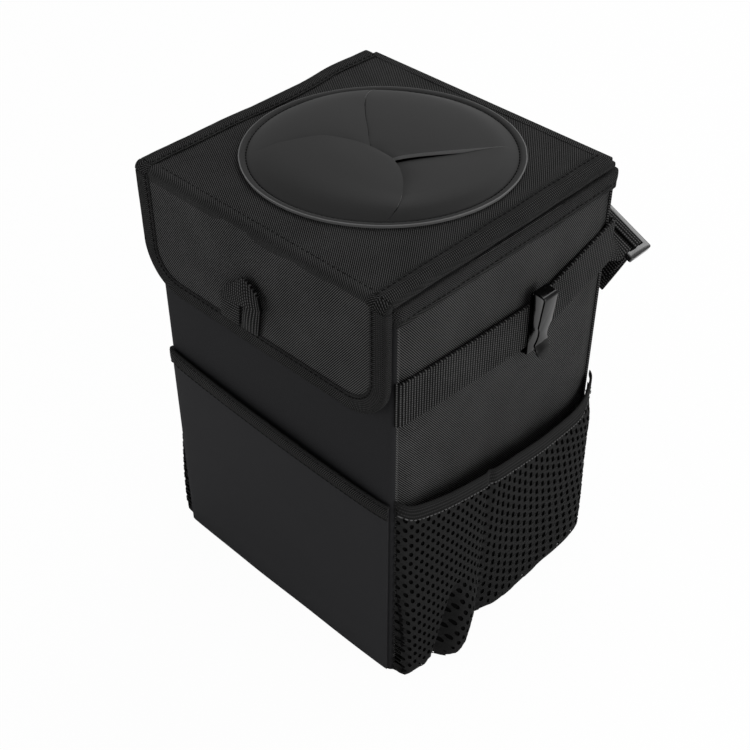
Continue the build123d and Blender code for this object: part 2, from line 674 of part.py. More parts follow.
def bag_clip():
    """A strip of spring steel hooked on the right strap, with an open leg that ends in a tongue."""
    strap_in = STRAP_FACE + STRAP_BOW
    strap_out = strap_in + WEBBING
    back = strap_in - CLIP_CLEAR - CLIP_STEEL
    front = strap_out + CLIP_CLEAR
    low = STRAP_CLIP_Z - WEBBING_WIDTH / 2 - CLIP_CLEAR - CLIP_STEEL
    high = STRAP_CLIP_Z + WEBBING_WIDTH / 2
    top = high + CLIP_TOP_RISE
    outer = front + CLIP_STEEL + CLIP_LEG_GAP
    dip = outer - CLIP_DIP
    path = FilletPolyline(
        (back, high),
        (back, low),
        (front + CLIP_STEEL, low),
        (front + CLIP_STEEL, top),
        (outer + CLIP_STEEL, top - CLIP_STEEL),
        (dip, low + CLIP_TONGUE + CLIP_STEEL),
        (outer + CLIP_STEEL, low),
        radius=CLIP_BEND,
    )
    strip = make_face(offset(path, amount=CLIP_STEEL, side=Side.LEFT))
    clip = extrude(Plane.XZ.offset(-CLIP_Y - CLIP_WIDTH / 2) * strip, CLIP_WIDTH)
    half = CLIP_WIDTH / 2
    tongue = Pos(outer, CLIP_Y, low + half) * Rot(0, 90, 0) * Cylinder(half, CLIP_LEG_GAP)
    leg = (outer - CLIP_LEG_GAP / 2, outer + CLIP_LEG_GAP / 2)
    end = block(*leg, CLIP_Y - half, CLIP_Y + half, low - CLIP_BEND, low + half)
    waist_reach = half + CLIP_WAIST_RADIUS - CLIP_WAIST
    for way in (-1, 1):
        waist = Pos(outer, CLIP_Y + way * waist_reach, low + CLIP_WAIST_HEIGHT) * Rot(0, 90, 0)
        clip -= waist * Cylinder(CLIP_WAIST_RADIUS, CLIP_LEG_GAP)
    return clip - (end - tongue)


def build():
    """Every piece by its name."""
    pieces = {"bottom_panel": rounded_prism(0, 0, CLOTH)}
    pieces.update(wall_panels())
    pieces.update(stiffening_boards())
    pieces["liner"] = waterproof_liner()
    pieces["rim_tape"] = rim_tape()
    pieces.update(front_pocket())
    mesh, hem = mesh_pocket()
    pieces["right_mesh_pocket"] = mesh
    pieces["right_elastic_hem"] = hem
    pieces["left_mesh_pocket"] = mirrored(mesh)
    pieces["left_elastic_hem"] = mirrored(hem)
    pieces["right_strap"] = right_strap()
    pieces["back_strap"] = back_strap()
    pieces["strap_adjuster"] = strap_adjuster()
    clip = bag_clip()
    pieces["right_bag_clip"] = clip
    pieces["left_bag_clip"] = mirrored(clip)
    pieces.update(lid_layers())
    pieces["lid_tape"] = lid_tape()
    pieces["slit_disc"] = slit_disc()
    pieces.update(flap_layers())
    pieces["flap_tape"] = flap_tape()
    pieces.update(closure_strips())
    pieces["pull_loop"] = pull_loop()
    return pieces


for name, piece in build().items():
    export_step(piece, f"parts/{name}.step")
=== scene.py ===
"""A square black cloth bin for a car, with a slit foam disc in its hinged lid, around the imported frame."""

import logging
import math
from collections.abc import Callable, Sequence
from dataclasses import dataclass
from enum import Enum

import bpy
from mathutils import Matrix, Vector, noise

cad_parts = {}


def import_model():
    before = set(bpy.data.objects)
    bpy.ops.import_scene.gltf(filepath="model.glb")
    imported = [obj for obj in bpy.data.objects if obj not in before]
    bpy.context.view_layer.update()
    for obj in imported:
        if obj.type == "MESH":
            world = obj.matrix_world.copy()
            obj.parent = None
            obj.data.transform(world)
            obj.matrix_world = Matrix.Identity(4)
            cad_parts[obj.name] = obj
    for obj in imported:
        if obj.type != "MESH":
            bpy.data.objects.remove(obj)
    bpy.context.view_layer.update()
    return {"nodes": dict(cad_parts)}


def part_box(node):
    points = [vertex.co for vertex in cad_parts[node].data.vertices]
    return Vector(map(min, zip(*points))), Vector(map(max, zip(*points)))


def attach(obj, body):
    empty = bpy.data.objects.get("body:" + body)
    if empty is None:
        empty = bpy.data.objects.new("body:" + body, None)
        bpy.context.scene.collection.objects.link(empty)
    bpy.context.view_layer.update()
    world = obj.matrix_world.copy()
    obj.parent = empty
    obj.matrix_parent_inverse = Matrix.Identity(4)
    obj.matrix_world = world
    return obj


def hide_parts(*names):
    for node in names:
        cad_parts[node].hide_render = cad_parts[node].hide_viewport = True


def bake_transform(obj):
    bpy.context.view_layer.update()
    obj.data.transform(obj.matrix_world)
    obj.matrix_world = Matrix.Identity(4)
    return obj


MM = 0.001
QUARTER = math.pi / 2
CLOTH_THICKNESS = 0.9
TAPE_THICKNESS = 0.7
STITCH_PITCH = 3.2
UP = Vector((0, 0, 1)).freeze()
FORWARD = Vector((0, -1, 0)).freeze()

Place = Callable[[float, float], Sequence[float]]
Route = Callable[[float], tuple[Vector, Vector, Vector]]
Pair = tuple[float, float]
Colour = tuple[float, float, float]

log = logging.getLogger("trash_bin")


def smooth(share: float) -> float:
    """Eases a share from 0 to 1."""
    share = min(max(share, 0.0), 1.0)
    return share * share * (3 - 2 * share)


def mix(first: float, second: float, share: float) -> float:
    """A value between two others."""
    return first + (second - first) * share


def hump(place: float, centre: float, width: float) -> float:
    """A smooth rise of height one about a centre."""
    return math.exp(-(((place - centre) / width) ** 2))


def ripple(x: float, y: float, z: float, span: float) -> float:
    """A gentle uneven value between -1 and 1 that changes over a span of millimetres."""
    return noise.noise(Vector((x, y, z)) / span)


def node_box(name: str) -> tuple[Vector, Vector]:
    """The lowest and highest corners of a node, in millimetres."""
    low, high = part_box(name)
    return low / MM, high / MM


def deselect() -> None:
    """Clears the selection, as each operator acts on all that is selected."""
    if bpy.context.object and bpy.context.object.mode != "OBJECT":
        bpy.ops.object.mode_set(mode="OBJECT")
    bpy.ops.object.select_all(action="DESELECT")


def activate(obj: bpy.types.Object) -> None:
    """Selects one object alone and makes it active."""
    deselect()
    obj.select_set(True)
    bpy.context.view_layer.objects.active = obj


def add_object(name: str, data: bpy.types.ID) -> bpy.types.Object:
    """Adds an object with its data to the scene."""
    obj = bpy.data.objects.new(name, data)
    bpy.context.scene.collection.objects.link(obj)
    return obj


def add_mesh(name: str, vertices: Sequence[Vector], faces: Sequence[tuple[int, ...]]) -> bpy.types.Object:
    """Adds a mesh object from its points in metres and its faces."""
    mesh = bpy.data.meshes.new(name)
    mesh.from_pydata(vertices, [], faces)
    return add_object(name, mesh)


def apply_modifier(obj: bpy.types.Object, kind: str, **settings: object) -> None:
    """Adds a modifier with its settings and applies it.

    Args:
        obj: The piece that the modifier shapes.
        kind: The modifier's type.
        settings: Its properties by name.
    """
    activate(obj)
    modifier = obj.modifiers.new(kind.title(), kind)
    for name, value in settings.items():
        setattr(modifier, name, value)
    bpy.ops.object.modifier_apply(modifier=modifier.name)


def edit_all(obj: bpy.types.Object, operator: Callable[..., object], **settings: object) -> None:
    """Runs a mesh operator on the whole of a piece.

    Args:
        obj: The piece.
        operator: The operator from bpy.ops.mesh.
        settings: Its settings by name.
    """
    activate(obj)
    bpy.ops.object.mode_set(mode="EDIT")
    bpy.ops.mesh.select_all(action="SELECT")
    operator(**settings)
    bpy.ops.object.mode_set(mode="OBJECT")


def weld(obj: bpy.types.Object, distance: float = 0.01) -> None:
    """Merges points closer than a distance in millimetres."""
    edit_all(obj, bpy.ops.mesh.remove_doubles, threshold=distance * MM)


def face_up(obj: bpy.types.Object) -> None:
    """Flips a level sheet whose face looks down."""
    if sum(face.normal.z for face in obj.data.polygons) < 0:
        obj.data.flip_normals()


def side_name(side: int, piece: str) -> str:
    """A piece's name on the right side (1) or the left side (-1)."""
    return ("right_" if side > 0 else "left_") + piece


def cloth_grid(name: str, cells: tuple[int, int], place: Place, size: Pair) -> bpy.types.Object:
    """A grid laid on a surface, with its UV map in metres along the cloth.

    Args:
        name: The piece's name.
        cells: How many cells it has along and across.
        place: Gives the point in millimetres for a share along and a share across.
        size: The cloth's length and width in millimetres, for the UV map.

    Returns:
        The new open sheet, facing the side that place turns outwards.
    """
    deselect()
    bpy.ops.mesh.primitive_grid_add(x_subdivisions=cells[0], y_subdivisions=cells[1], size=1)
    obj = bpy.context.object
    obj.name = name
    mesh = obj.data
    shares = [(vertex.co.x + 0.5, vertex.co.y + 0.5) for vertex in mesh.vertices]
    for vertex, (along, across) in zip(mesh.vertices, shares):
        vertex.co = Vector(place(along, across)) * MM
    layer = mesh.uv_layers.active.data
    for loop in mesh.loops:
        along, across = shares[loop.vertex_index]
        layer[loop.index].uv = (along * size[0] * MM, across * size[1] * MM)
    mesh.update()
    return obj


def thicken(obj: bpy.types.Object, thickness: float, rim_slot: int = 0) -> None:
    """Gives a sheet its thickness in millimetres, inwards from its face."""
    settings = {"offset": -1.0, "material_offset_rim": rim_slot, "use_quality_normals": True}
    apply_modifier(obj, "SOLIDIFY", thickness=thickness * MM, **settings)


def round_off(obj: bpy.types.Object, levels: int = 1) -> None:
    """Rounds a piece by subdivision."""
    apply_modifier(obj, "SUBSURF", levels=levels, render_levels=levels)


def along_section(points: Sequence[Pair], share: float) -> Pair:
    """A point of a section drawn as straight runs, by its share of the corner count."""
    place = share * (len(points) - 1)
    index = min(int(place + 1e-6), len(points) - 2)
    rest = place - index
    first = points[index]
    second = points[index + 1]
    return mix(first[0], second[0], rest), mix(first[1], second[1], rest)


def curve_point(points: Sequence[Vector], share: float) -> Vector:
    """A point of a smooth curve through others, by its share of the length."""
    chords = [(second - first).length for first, second in zip(points, points[1:])]
    distance = min(max(share, 0.0), 1.0) * sum(chords)
    index = 0
    while index < len(chords) - 1 and distance > chords[index]:
        distance -= chords[index]
        index += 1
    rest = min(distance / chords[index], 1.0)
    before = points[max(index - 1, 0)]
    first, second = points[index], points[index + 1]
    after = points[min(index + 2, len(points) - 1)]
    bend = (second - before) * rest + (before * 2 - first * 5 + second * 4 - after) * rest**2
    bend += (first * 3 - before - second * 3 + after) * rest**3
    return first + bend / 2


def trough(share: float, half: float, low: float, high: float, radius: float) -> tuple[Vector, Vector]:
    """A point of a U with round corners, which runs from its left top to its right top.

    Args:
        share: The point's share of the length.
        half: Half the U's width.
        low: Its floor.
        high: Its top.
        radius: Its corners' radius.

    Returns:
        The point and the outward way, both in the U's own plane.
    """
    side = high - low - radius
    arc = QUARTER * radius
    straight = 2 * (half - radius)
    distance = share * (2 * side + 2 * arc + straight)
    across = half - radius
    centre = low + radius
    if distance < side:
        return Vector((-half, high - distance)), Vector((-1, 0))
    distance -= side
    if distance < arc:
        out = Vector((-math.cos(distance / radius), -math.sin(distance / radius)))
        return Vector((-across, centre)) + out * radius, out
    distance -= arc
    if distance < straight:
        return Vector((distance - across, low)), Vector((0, -1))
    distance -= straight
    if distance < arc:
        out = Vector((math.sin(distance / radius), -math.cos(distance / radius)))
        return Vector((across, centre)) + out * radius, out
    distance -= arc
    return Vector((half, centre + distance)), Vector((1, 0))


def turn_map(obj: bpy.types.Object) -> None:
    """Turns a piece's UV map by a quarter, so that its weave lies across."""
    for item in obj.data.uv_layers.active.data:
        item.uv = (item.uv.y, item.uv.x)


def lay_map(obj: bpy.types.Object, spot: Callable[[Vector], Pair]) -> None:
    """Makes a piece's UV map from its points in metres."""
    for loop in obj.data.loops:
        point = obj.data.vertices[loop.vertex_index].co
        obj.data.uv_layers.active.data[loop.index].uv = spot(point)


def section_length(points: Sequence[Pair]) -> float:
    """The length of a section's runs."""
    return sum(math.dist(first, second) for first, second in zip(points, points[1:]))


class Pattern(Enum):
    """How a fabric is woven."""

    TWILL = "twill"
    HERRINGBONE = "herringbone"
    RIBS = "ribs"
    SMOOTH = "smooth"


class NodeSheet:
    """A shader node tree that is being wired."""

    def __init__(self, tree: bpy.types.NodeTree) -> None:
        """Keeps the tree."""
        self.tree = tree

    def node(self, kind: str, **values: object) -> bpy.types.Node:
        """Adds a node.

        Args:
            kind: Its type.
            values: Its properties by name.

        Returns:
            The new node.
        """
        node = self.tree.nodes.new(kind)
        for name, value in values.items():
            setattr(node, name, value)
        return node

    def feed(self, socket: bpy.types.NodeSocket, value: object) -> None:
        """Links an output to a socket, or sets the socket's own value."""
        if isinstance(value, bpy.types.NodeSocket):
            self.tree.links.new(value, socket)
        else:
            socket.default_value = value

    def maths(self, operation: str, *values: object) -> bpy.types.NodeSocket:
        """Adds a Math node over sockets or numbers and returns its output."""
        node = self.node("ShaderNodeMath", operation=operation)
        for socket, value in zip(node.inputs, values):
            self.feed(socket, value)
        return node.outputs[0]

    def group(self, tree: bpy.types.NodeTree, **values: object) -> bpy.types.Node:
        """Adds a node group with its inputs by name."""
        node = self.node("ShaderNodeGroup")
        node.node_tree = tree
        for name, value in values.items():
            self.feed(node.inputs[name.replace("_", " ").title()], value)
        return node


def new_group(name: str, inputs: dict[str, float | None], outputs: Sequence[str]) -> tuple:
    """Starts a shared node group.

    Args:
        name: The group's name.
        inputs: Input names with their first values; a vector has None.
        outputs: Names of the values it puts out.

    Returns:
        The sheet to wire it on, its input node and its output node.
    """
    tree = bpy.data.node_groups.new(name, "ShaderNodeTree")
    for label, value in inputs.items():
        kind = "NodeSocketVector" if value is None else "NodeSocketFloat"
        socket = tree.interface.new_socket(label, in_out="INPUT", socket_type=kind)
        if value is not None:
            socket.default_value = value
    for label in outputs:
        tree.interface.new_socket(label, in_out="OUTPUT", socket_type="NodeSocketFloat")
    sheet = NodeSheet(tree)
    return sheet, sheet.node("NodeGroupInput"), sheet.node("NodeGroupOutput")


def half_wave(
    sheet: NodeSheet, turns: bpy.types.NodeSocket, steepness: float = 0.5, level: float = 0.5
) -> bpy.types.NodeSocket:
    """A wave between 0 and 1, flat-topped where it is steep and narrow where it is low."""
    angle = sheet.maths("MULTIPLY", turns, 2 * math.pi)
    wave = sheet.node("ShaderNodeMath", operation="MULTIPLY_ADD", use_clamp=True)
    sheet.feed(wave.inputs[0], sheet.maths("SINE", angle))
    wave.inputs[1].default_value = steepness
    wave.inputs[2].default_value = level
    return wave.outputs[0]


class FabricPatterns:
    """The shared node groups of the weaves, and of the mottling that every finish has."""

    def __init__(self) -> None:
        """Builds each group once."""
        self.weaves = {
            Pattern.TWILL: self.twill(),
            Pattern.HERRINGBONE: self.herringbone(),
            Pattern.RIBS: self.ribs(),
        }
        self.mottle = self.mottling()

    @staticmethod
    def split(sheet: NodeSheet, entry: bpy.types.Node) -> tuple:
        """The pattern's two directions in turns of the pitch."""
        parts = sheet.node("ShaderNodeSeparateXYZ")
        sheet.feed(parts.inputs[0], entry.outputs["Vector"])
        along = sheet.maths("DIVIDE", parts.outputs[0], entry.outputs["Pitch"])
        across = sheet.maths("DIVIDE", parts.outputs[1], entry.outputs["Pitch"])
        return along, across

    def twill(self) -> bpy.types.NodeTree:
        """Diagonal lines crossed by weaker ones."""
        sheet, entry, out = new_group("twill_weave", {"Vector": None, "Pitch": 0.001}, ["Height"])
        along, across = self.split(sheet, entry)
        strong = half_wave(sheet, sheet.maths("MULTIPLY_ADD", across, 0.75, along), 1.8, -0.25)
        slight = sheet.maths("MULTIPLY", along, 0.15)
        weak = half_wave(sheet, sheet.maths("MULTIPLY_ADD", across, -0.7, slight))
        height = sheet.maths("MULTIPLY_ADD", weak, 0.14, sheet.maths("MULTIPLY", strong, 0.86))
        sheet.feed(out.inputs[0], height)
        return sheet.tree

    def herringbone(self) -> bpy.types.NodeTree:
        """Slanting threads that turn back in narrow bands along the tape."""
        sheet, entry, out = new_group("herringbone_weave", {"Vector": None, "Pitch": 0.001}, ["Height"])
        along, across = self.split(sheet, entry)
        band = sheet.maths("PINGPONG", across, 3.0)
        slanting = half_wave(sheet, sheet.maths("ADD", along, band), 1.5, 0.1)
        cross = half_wave(sheet, sheet.maths("MULTIPLY", across, 1.5), 0.8)
        height = sheet.maths("MULTIPLY", slanting, sheet.maths("MULTIPLY_ADD", cross, 0.65, 0.35))
        sheet.feed(out.inputs[0], height)
        return sheet.tree

    def ribs(self) -> bpy.types.NodeTree:
        """Ribs across the band, each broken by its threads."""
        sheet, entry, out = new_group("webbing_ribs", {"Vector": None, "Pitch": 0.001}, ["Height"])
        along, across = self.split(sheet, entry)
        rib = sheet.maths("ABSOLUTE", sheet.maths("SINE", sheet.maths("MULTIPLY", along, math.pi)))
        shift = sheet.maths("MULTIPLY", sheet.maths("FLOOR", along), 0.5)
        thread = half_wave(sheet, sheet.maths("ADD", sheet.maths("MULTIPLY", across, 1.3), shift), 0.9, 0.45)
        rib = sheet.maths("POWER", rib, 5.5)
        height = sheet.maths("MULTIPLY", rib, sheet.maths("MULTIPLY_ADD", thread, 0.75, 0.25))
        sheet.feed(out.inputs[0], height)
        return sheet.tree

    @staticmethod
    def mottling() -> bpy.types.NodeTree:
        """Broad uneven shade and fine fleck."""
        sheet, entry, out = new_group("mottling", {"Vector": None, "Scale": 40.0}, ["Shade", "Fleck"])
        for index, (factor, detail) in enumerate(((1.0, 3.0), (38.0, 2.0))):
            texture = sheet.node("ShaderNodeTexNoise")
            sheet.feed(texture.inputs["Vector"], entry.outputs["Vector"])
            sheet.feed(texture.inputs["Scale"], sheet.maths("MULTIPLY", entry.outputs["Scale"], factor))
            texture.inputs["Detail"].default_value = detail
            sheet.feed(out.inputs[index], texture.outputs["Fac"])
        return sheet.tree


class FinishSheet(NodeSheet):
    """A new material that is being wired, with the shared mottling."""

    def __init__(self, name: str, patterns: FabricPatterns, scale: float) -> None:
        """Starts the material, its mottling at a scale."""
        self.material = bpy.data.materials.new(name)
        self.material.use_nodes = True
        super().__init__(self.material.node_tree)
        self.inputs = self.tree.nodes["Principled BSDF"].inputs
        self.where = self.node("ShaderNodeTexCoord").outputs
        self.mottle = self.group(patterns.mottle, vector=self.where["Object"], scale=scale).outputs

    def colour(self, dark: Colour, light: Colour, factor: bpy.types.NodeSocket) -> None:
        """Blends the base colour from dark to light."""
        blend = self.node("ShaderNodeMix", data_type="RGBA", clamp_factor=True)
        self.feed(blend.inputs["Factor"], factor)
        blend.inputs["A"].default_value = (*dark, 1.0)
        blend.inputs["B"].default_value = (*light, 1.0)
        self.feed(self.inputs["Base Color"], next(item for item in blend.outputs if item.enabled))

    def rough(self, source: str, level: float, spread: float) -> None:
        """Spreads the roughness about a level by one of the mottling's outputs."""
        rough = self.maths("MULTIPLY_ADD", self.mottle[source], spread, level - spread / 2)
        self.feed(self.inputs["Roughness"], rough)

    def bump(self, height: bpy.types.NodeSocket, strength: float, distance: float) -> None:
        """Raises the face by a height, with the distance in millimetres."""
        bump = self.node("ShaderNodeBump")
        bump.inputs["Strength"].default_value = strength
        bump.inputs["Distance"].default_value = distance * MM
        self.feed(bump.inputs["Height"], height)
        self.feed(self.inputs["Normal"], bump.outputs["Normal"])

    def settle(self, values: dict[str, float]) -> bpy.types.Material:
        """Sets the shader's plain values by name and returns the finished material."""
        for name, value in values.items():
            self.inputs[name].default_value = value
        return self.material


@dataclass(frozen=True)
class FabricFinish:
    """A woven, knitted or smooth sheet material."""

    name: str
    dark: Colour
    light: Colour
    pattern: Pattern = Pattern.SMOOTH
    pitch: float = 0.9
    relief: float = 0.12
    contrast: float = 0.5
    roughness: float = 0.8
    sheen: float = 0.0
    specular: float = 0.06
    mapped: bool = True

    def build(self, patterns: FabricPatterns) -> bpy.types.Material:
        """Wires the material.

        Args:
            patterns: The shared node groups.

        Returns:
            The new material.
        """
        sheet = FinishSheet(self.name, patterns, 45.0)
        place = sheet.where["UV" if self.mapped else "Object"]
        height = sheet.mottle["Fleck"]
        fleck = sheet.maths("MULTIPLY_ADD", height, 0.3, -0.15)
        shade = sheet.maths("MULTIPLY_ADD", sheet.mottle["Shade"], 0.3, -0.15)
        uneven = sheet.maths("ADD", fleck, shade)
        if self.pattern is Pattern.SMOOTH:
            factor = sheet.maths("ADD", uneven, 0.5)
        else:
            weave = sheet.group(patterns.weaves[self.pattern], vector=place, pitch=self.pitch * MM)
            height = sheet.maths("MULTIPLY_ADD", height, 0.25, weave.outputs["Height"])
            level = sheet.maths("ADD", uneven, 0.5 - self.contrast / 2)
            factor = sheet.maths("MULTIPLY_ADD", weave.outputs["Height"], self.contrast, level)
        sheet.colour(self.dark, self.light, factor)
        sheet.rough("Shade", self.roughness, 0.16)
        sheet.bump(height, 0.9, self.relief)
        sheen = {"Sheen Weight": self.sheen, "Sheen Roughness": 0.45}
        return sheet.settle({**sheen, "Specular IOR Level": self.specular})


@dataclass(frozen=True)
class HardFinish:
    """A moulded plastic or a plated steel."""

    name: str
    dark: Colour
    light: Colour
    roughness: float
    metallic: float = 0.0
    grain: float = 0.01
    coat: float = 0.0

    def build(self, patterns: FabricPatterns) -> bpy.types.Material:
        """Wires the material.

        Args:
            patterns: The shared node groups.

        Returns:
            The new material.
        """
        sheet = FinishSheet(self.name, patterns, 90.0)
        sheet.colour(self.dark, self.light, sheet.mottle["Shade"])
        sheet.rough("Fleck", self.roughness, 0.12)
        sheet.bump(sheet.mottle["Fleck"], 0.5, self.grain)
        return sheet.settle({"Metallic": self.metallic, "Coat Weight": self.coat})


def grey(value: float, cool: float = 0.0) -> Colour:
    """A grey from a screen value of 0 to 255, made linear, its blue raised by the cool part."""
    linear, blue = (((level / 255 + 0.055) / 1.055) ** 2.4 for level in (value, value + cool))
    return (linear, linear, blue)


FINISHES = (
    FabricFinish("side_cloth", grey(0), grey(84), Pattern.TWILL, 1.11, 0.2, 1.0, 0.75),
    FabricFinish("front_cloth", grey(32, 1.5), grey(45, 1.5), Pattern.TWILL, 1.0, 0.03, 0.6, 0.68),
    # Painted highlight: a lighter twill laid on the front and back walls' corners next to the seams, standing
    # for the light that the turned corners catch.
    FabricFinish("painted_corner_highlight", grey(14), grey(106), Pattern.TWILL, 1.1, 0.2, 1.0, 0.75),
    FabricFinish("pocket_cloth", grey(37, 1.5), grey(52, 1.5), Pattern.TWILL, 1.0, 0.03, 0.6, 0.68),
    FabricFinish("flap_cloth", grey(0), grey(91), Pattern.TWILL, 1.1, 0.2, 1.0, 0.8),
    FabricFinish("lid_cloth", grey(0), grey(74), Pattern.TWILL, 1.1, 0.2, 1.0, 0.8),
    FabricFinish("binding_tape", grey(0), grey(76), Pattern.HERRINGBONE, 1.1, 0.25, 1.0, 0.8),
    FabricFinish("webbing", grey(0), grey(97), Pattern.RIBS, 1.68, 0.3, 1.0, 0.75),
    FabricFinish("elastic", grey(20), grey(50), Pattern.RIBS, 1.3, 0.15, 0.9, 0.78),
    FabricFinish("net", grey(20), grey(38), roughness=0.75, relief=0.1, mapped=False),
    # Painted shade: the near-black of the sheet behind the net, standing for the shadow inside the pocket.
    FabricFinish("net_shade", grey(4), grey(9), roughness=0.95, relief=0.1, specular=0.05, mapped=False),
    FabricFinish("foam_face", grey(46), grey(58), roughness=0.85, relief=0.03, sheen=0.1, mapped=False),
    FabricFinish("foam_cut_edge", grey(70), grey(130), roughness=0.95, relief=0.25, sheen=0.1, mapped=False),
    FabricFinish("thread", grey(60), grey(110), roughness=0.6, relief=0.05, mapped=False),
    FabricFinish("dark_thread", grey(12), grey(26), roughness=0.8, relief=0.05, mapped=False),
    FabricFinish("stiff_board", grey(70), grey(90), roughness=0.9, relief=0.08, mapped=False),
    FabricFinish("liner_sheet", grey(42), grey(56), roughness=0.4, relief=0.06, specular=0.5, mapped=False),
    FabricFinish("lining_cloth", grey(30), grey(44), roughness=0.7, relief=0.08, mapped=False),
    FabricFinish("loop_pile", grey(24), grey(48), roughness=0.95, relief=0.6, mapped=False),
    FabricFinish("hook_pile", grey(28), grey(56), roughness=0.7, relief=0.5, mapped=False),
    HardFinish("glossy_plastic", grey(16), grey(24), 0.18, coat=0.5),
    HardFinish("black_plated_steel", grey(38), grey(54), 0.14, metallic=1.0),
)


class Wardrobe:
    """All materials by name."""

    def __init__(self) -> None:
        """Builds every finish once."""
        patterns = FabricPatterns()
        self.materials = {finish.name: finish.build(patterns) for finish in FINISHES}

    def dress(self, obj: bpy.types.Object, *names: str) -> None:
        """Gives an object its materials in slot order."""
        obj.data.materials.clear()
        for name in names:
            obj.data.materials.append(self.materials[name])


@dataclass
class Maker:
    """Finishes pieces: dresses them, shades them smooth and seats them on their body."""

    wardrobe: Wardrobe

    def done(
        self,
        obj: bpy.types.Object,
        body: str | None,
        slot: str,
        *finishes: str,
        replaces: Sequence[str] = (),
        angle: float = 40.0,
    ) -> None:
        """Finishes one piece.

        Args:
            obj: The piece, shaped and in place.
            body: The body that carries it, or None to leave it on no body.
            slot: Not used.
            finishes: Its materials in slot order.
            replaces: The nodes that it stands for.
            angle: Edges sharper than this many degrees stay crisp.
        """
        if finishes:
            self.wardrobe.dress(obj, *finishes)
        activate(obj)
        bpy.ops.object.shade_smooth_by_angle(angle=math.radians(angle))
        if body:
            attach(obj, body)
        if replaces:
            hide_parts(*replaces)
        log.info("%s: %d faces", obj.name, len(obj.data.polygons))

    def bands(
        self,
        name: str,
        route: Route,
        section: Sequence[Pair],
        columns: int,
        length: float,
        crimp: float,
    ) -> bpy.types.Object:
        """A band that is folded along a route.

        Args:
            name: The piece's name.
            route: Gives a point, the outward way and the way up for a share along.
            section: The band's section as (out, up) points in millimetres.
            columns: Cells along the route.
            length: The route's length in millimetres.
            crimp: How far its face puckers.

        Returns:
            The new piece.
        """

        def place(along: float, across: float) -> Vector:
            point, out, up = route(along)
            reach, rise = along_section(section, across)
            pucker = crimp * ripple(along * length, across * 14, rise, 7.0)
            return point + out * (reach + pucker) + up * rise

        rows = len(section) - 1
        obj = cloth_grid(name, (columns, rows), place, (length, section_length(section)))
        thicken(obj, TAPE_THICKNESS)
        round_off(obj)
        return obj

    def seam(
        self, name: str, body: str, route: Route, count: int, shift: Pair, up: bool, size: float = 1.0
    ) -> None:
        """A row of dark stitches along a route.

        Args:
            name: The row's name.
            body: The body that carries it.
            route: Gives a point, the outward way and the way up for a share along.
            count: How many stitches it has.
            shift: How far it lies from the route, outwards and up.
            up: Whether the stitches lie on a face that looks up the route, not out of it.
            size: The thread's share of its usual thickness.
        """
        points = []
        for index in range(count + 1):
            point, *ways = route(index / count)
            points.append((point + ways[0] * shift[0] + ways[1] * shift[1], ways[up]))
        self.stitches(name, body, points, "dark_thread", size)

    def stitches(
        self, name: str, body: str, points: Sequence[tuple[Vector, Vector]], finish: str, size: float
    ) -> None:
        """A row of stitches, each lying between two points of the seam.

        Args:
            name: The row's name.
            body: The body that carries it.
            points: The seam as (point, normal) pairs, one stitch pitch apart.
            finish: The thread's material.
            size: The thread's share of its usual thickness.
        """
        deselect()
        bpy.ops.mesh.primitive_uv_sphere_add(segments=6, ring_count=5, radius=1)
        pattern = bpy.context.object
        corners = [vertex.co.copy() for vertex in pattern.data.vertices]
        faces = [tuple(face.vertices) for face in pattern.data.polygons]
        bpy.data.objects.remove(pattern)
        vertices = []
        polygons = []
        for (first, normal), (second, _) in zip(points, points[1:]):
            run = second - first
            along = run.normalized()
            side = normal.cross(along).normalized()
            middle = first + run * 0.42
            reach = run.length * 0.38
            start = len(vertices)
            for corner in corners:
                arched = 0.15 * size * (1 - corner.z**2)
                offset = along * corner.z * reach + side * corner.x * 0.34 * size
                vertices.append((middle + offset + normal * (corner.y * 0.26 * size + arched)) * MM)
            polygons.extend(tuple(index + start for index in face) for face in faces)
        self.done(add_mesh(name, vertices, polygons), body, "binding_tape", finish, angle=80)


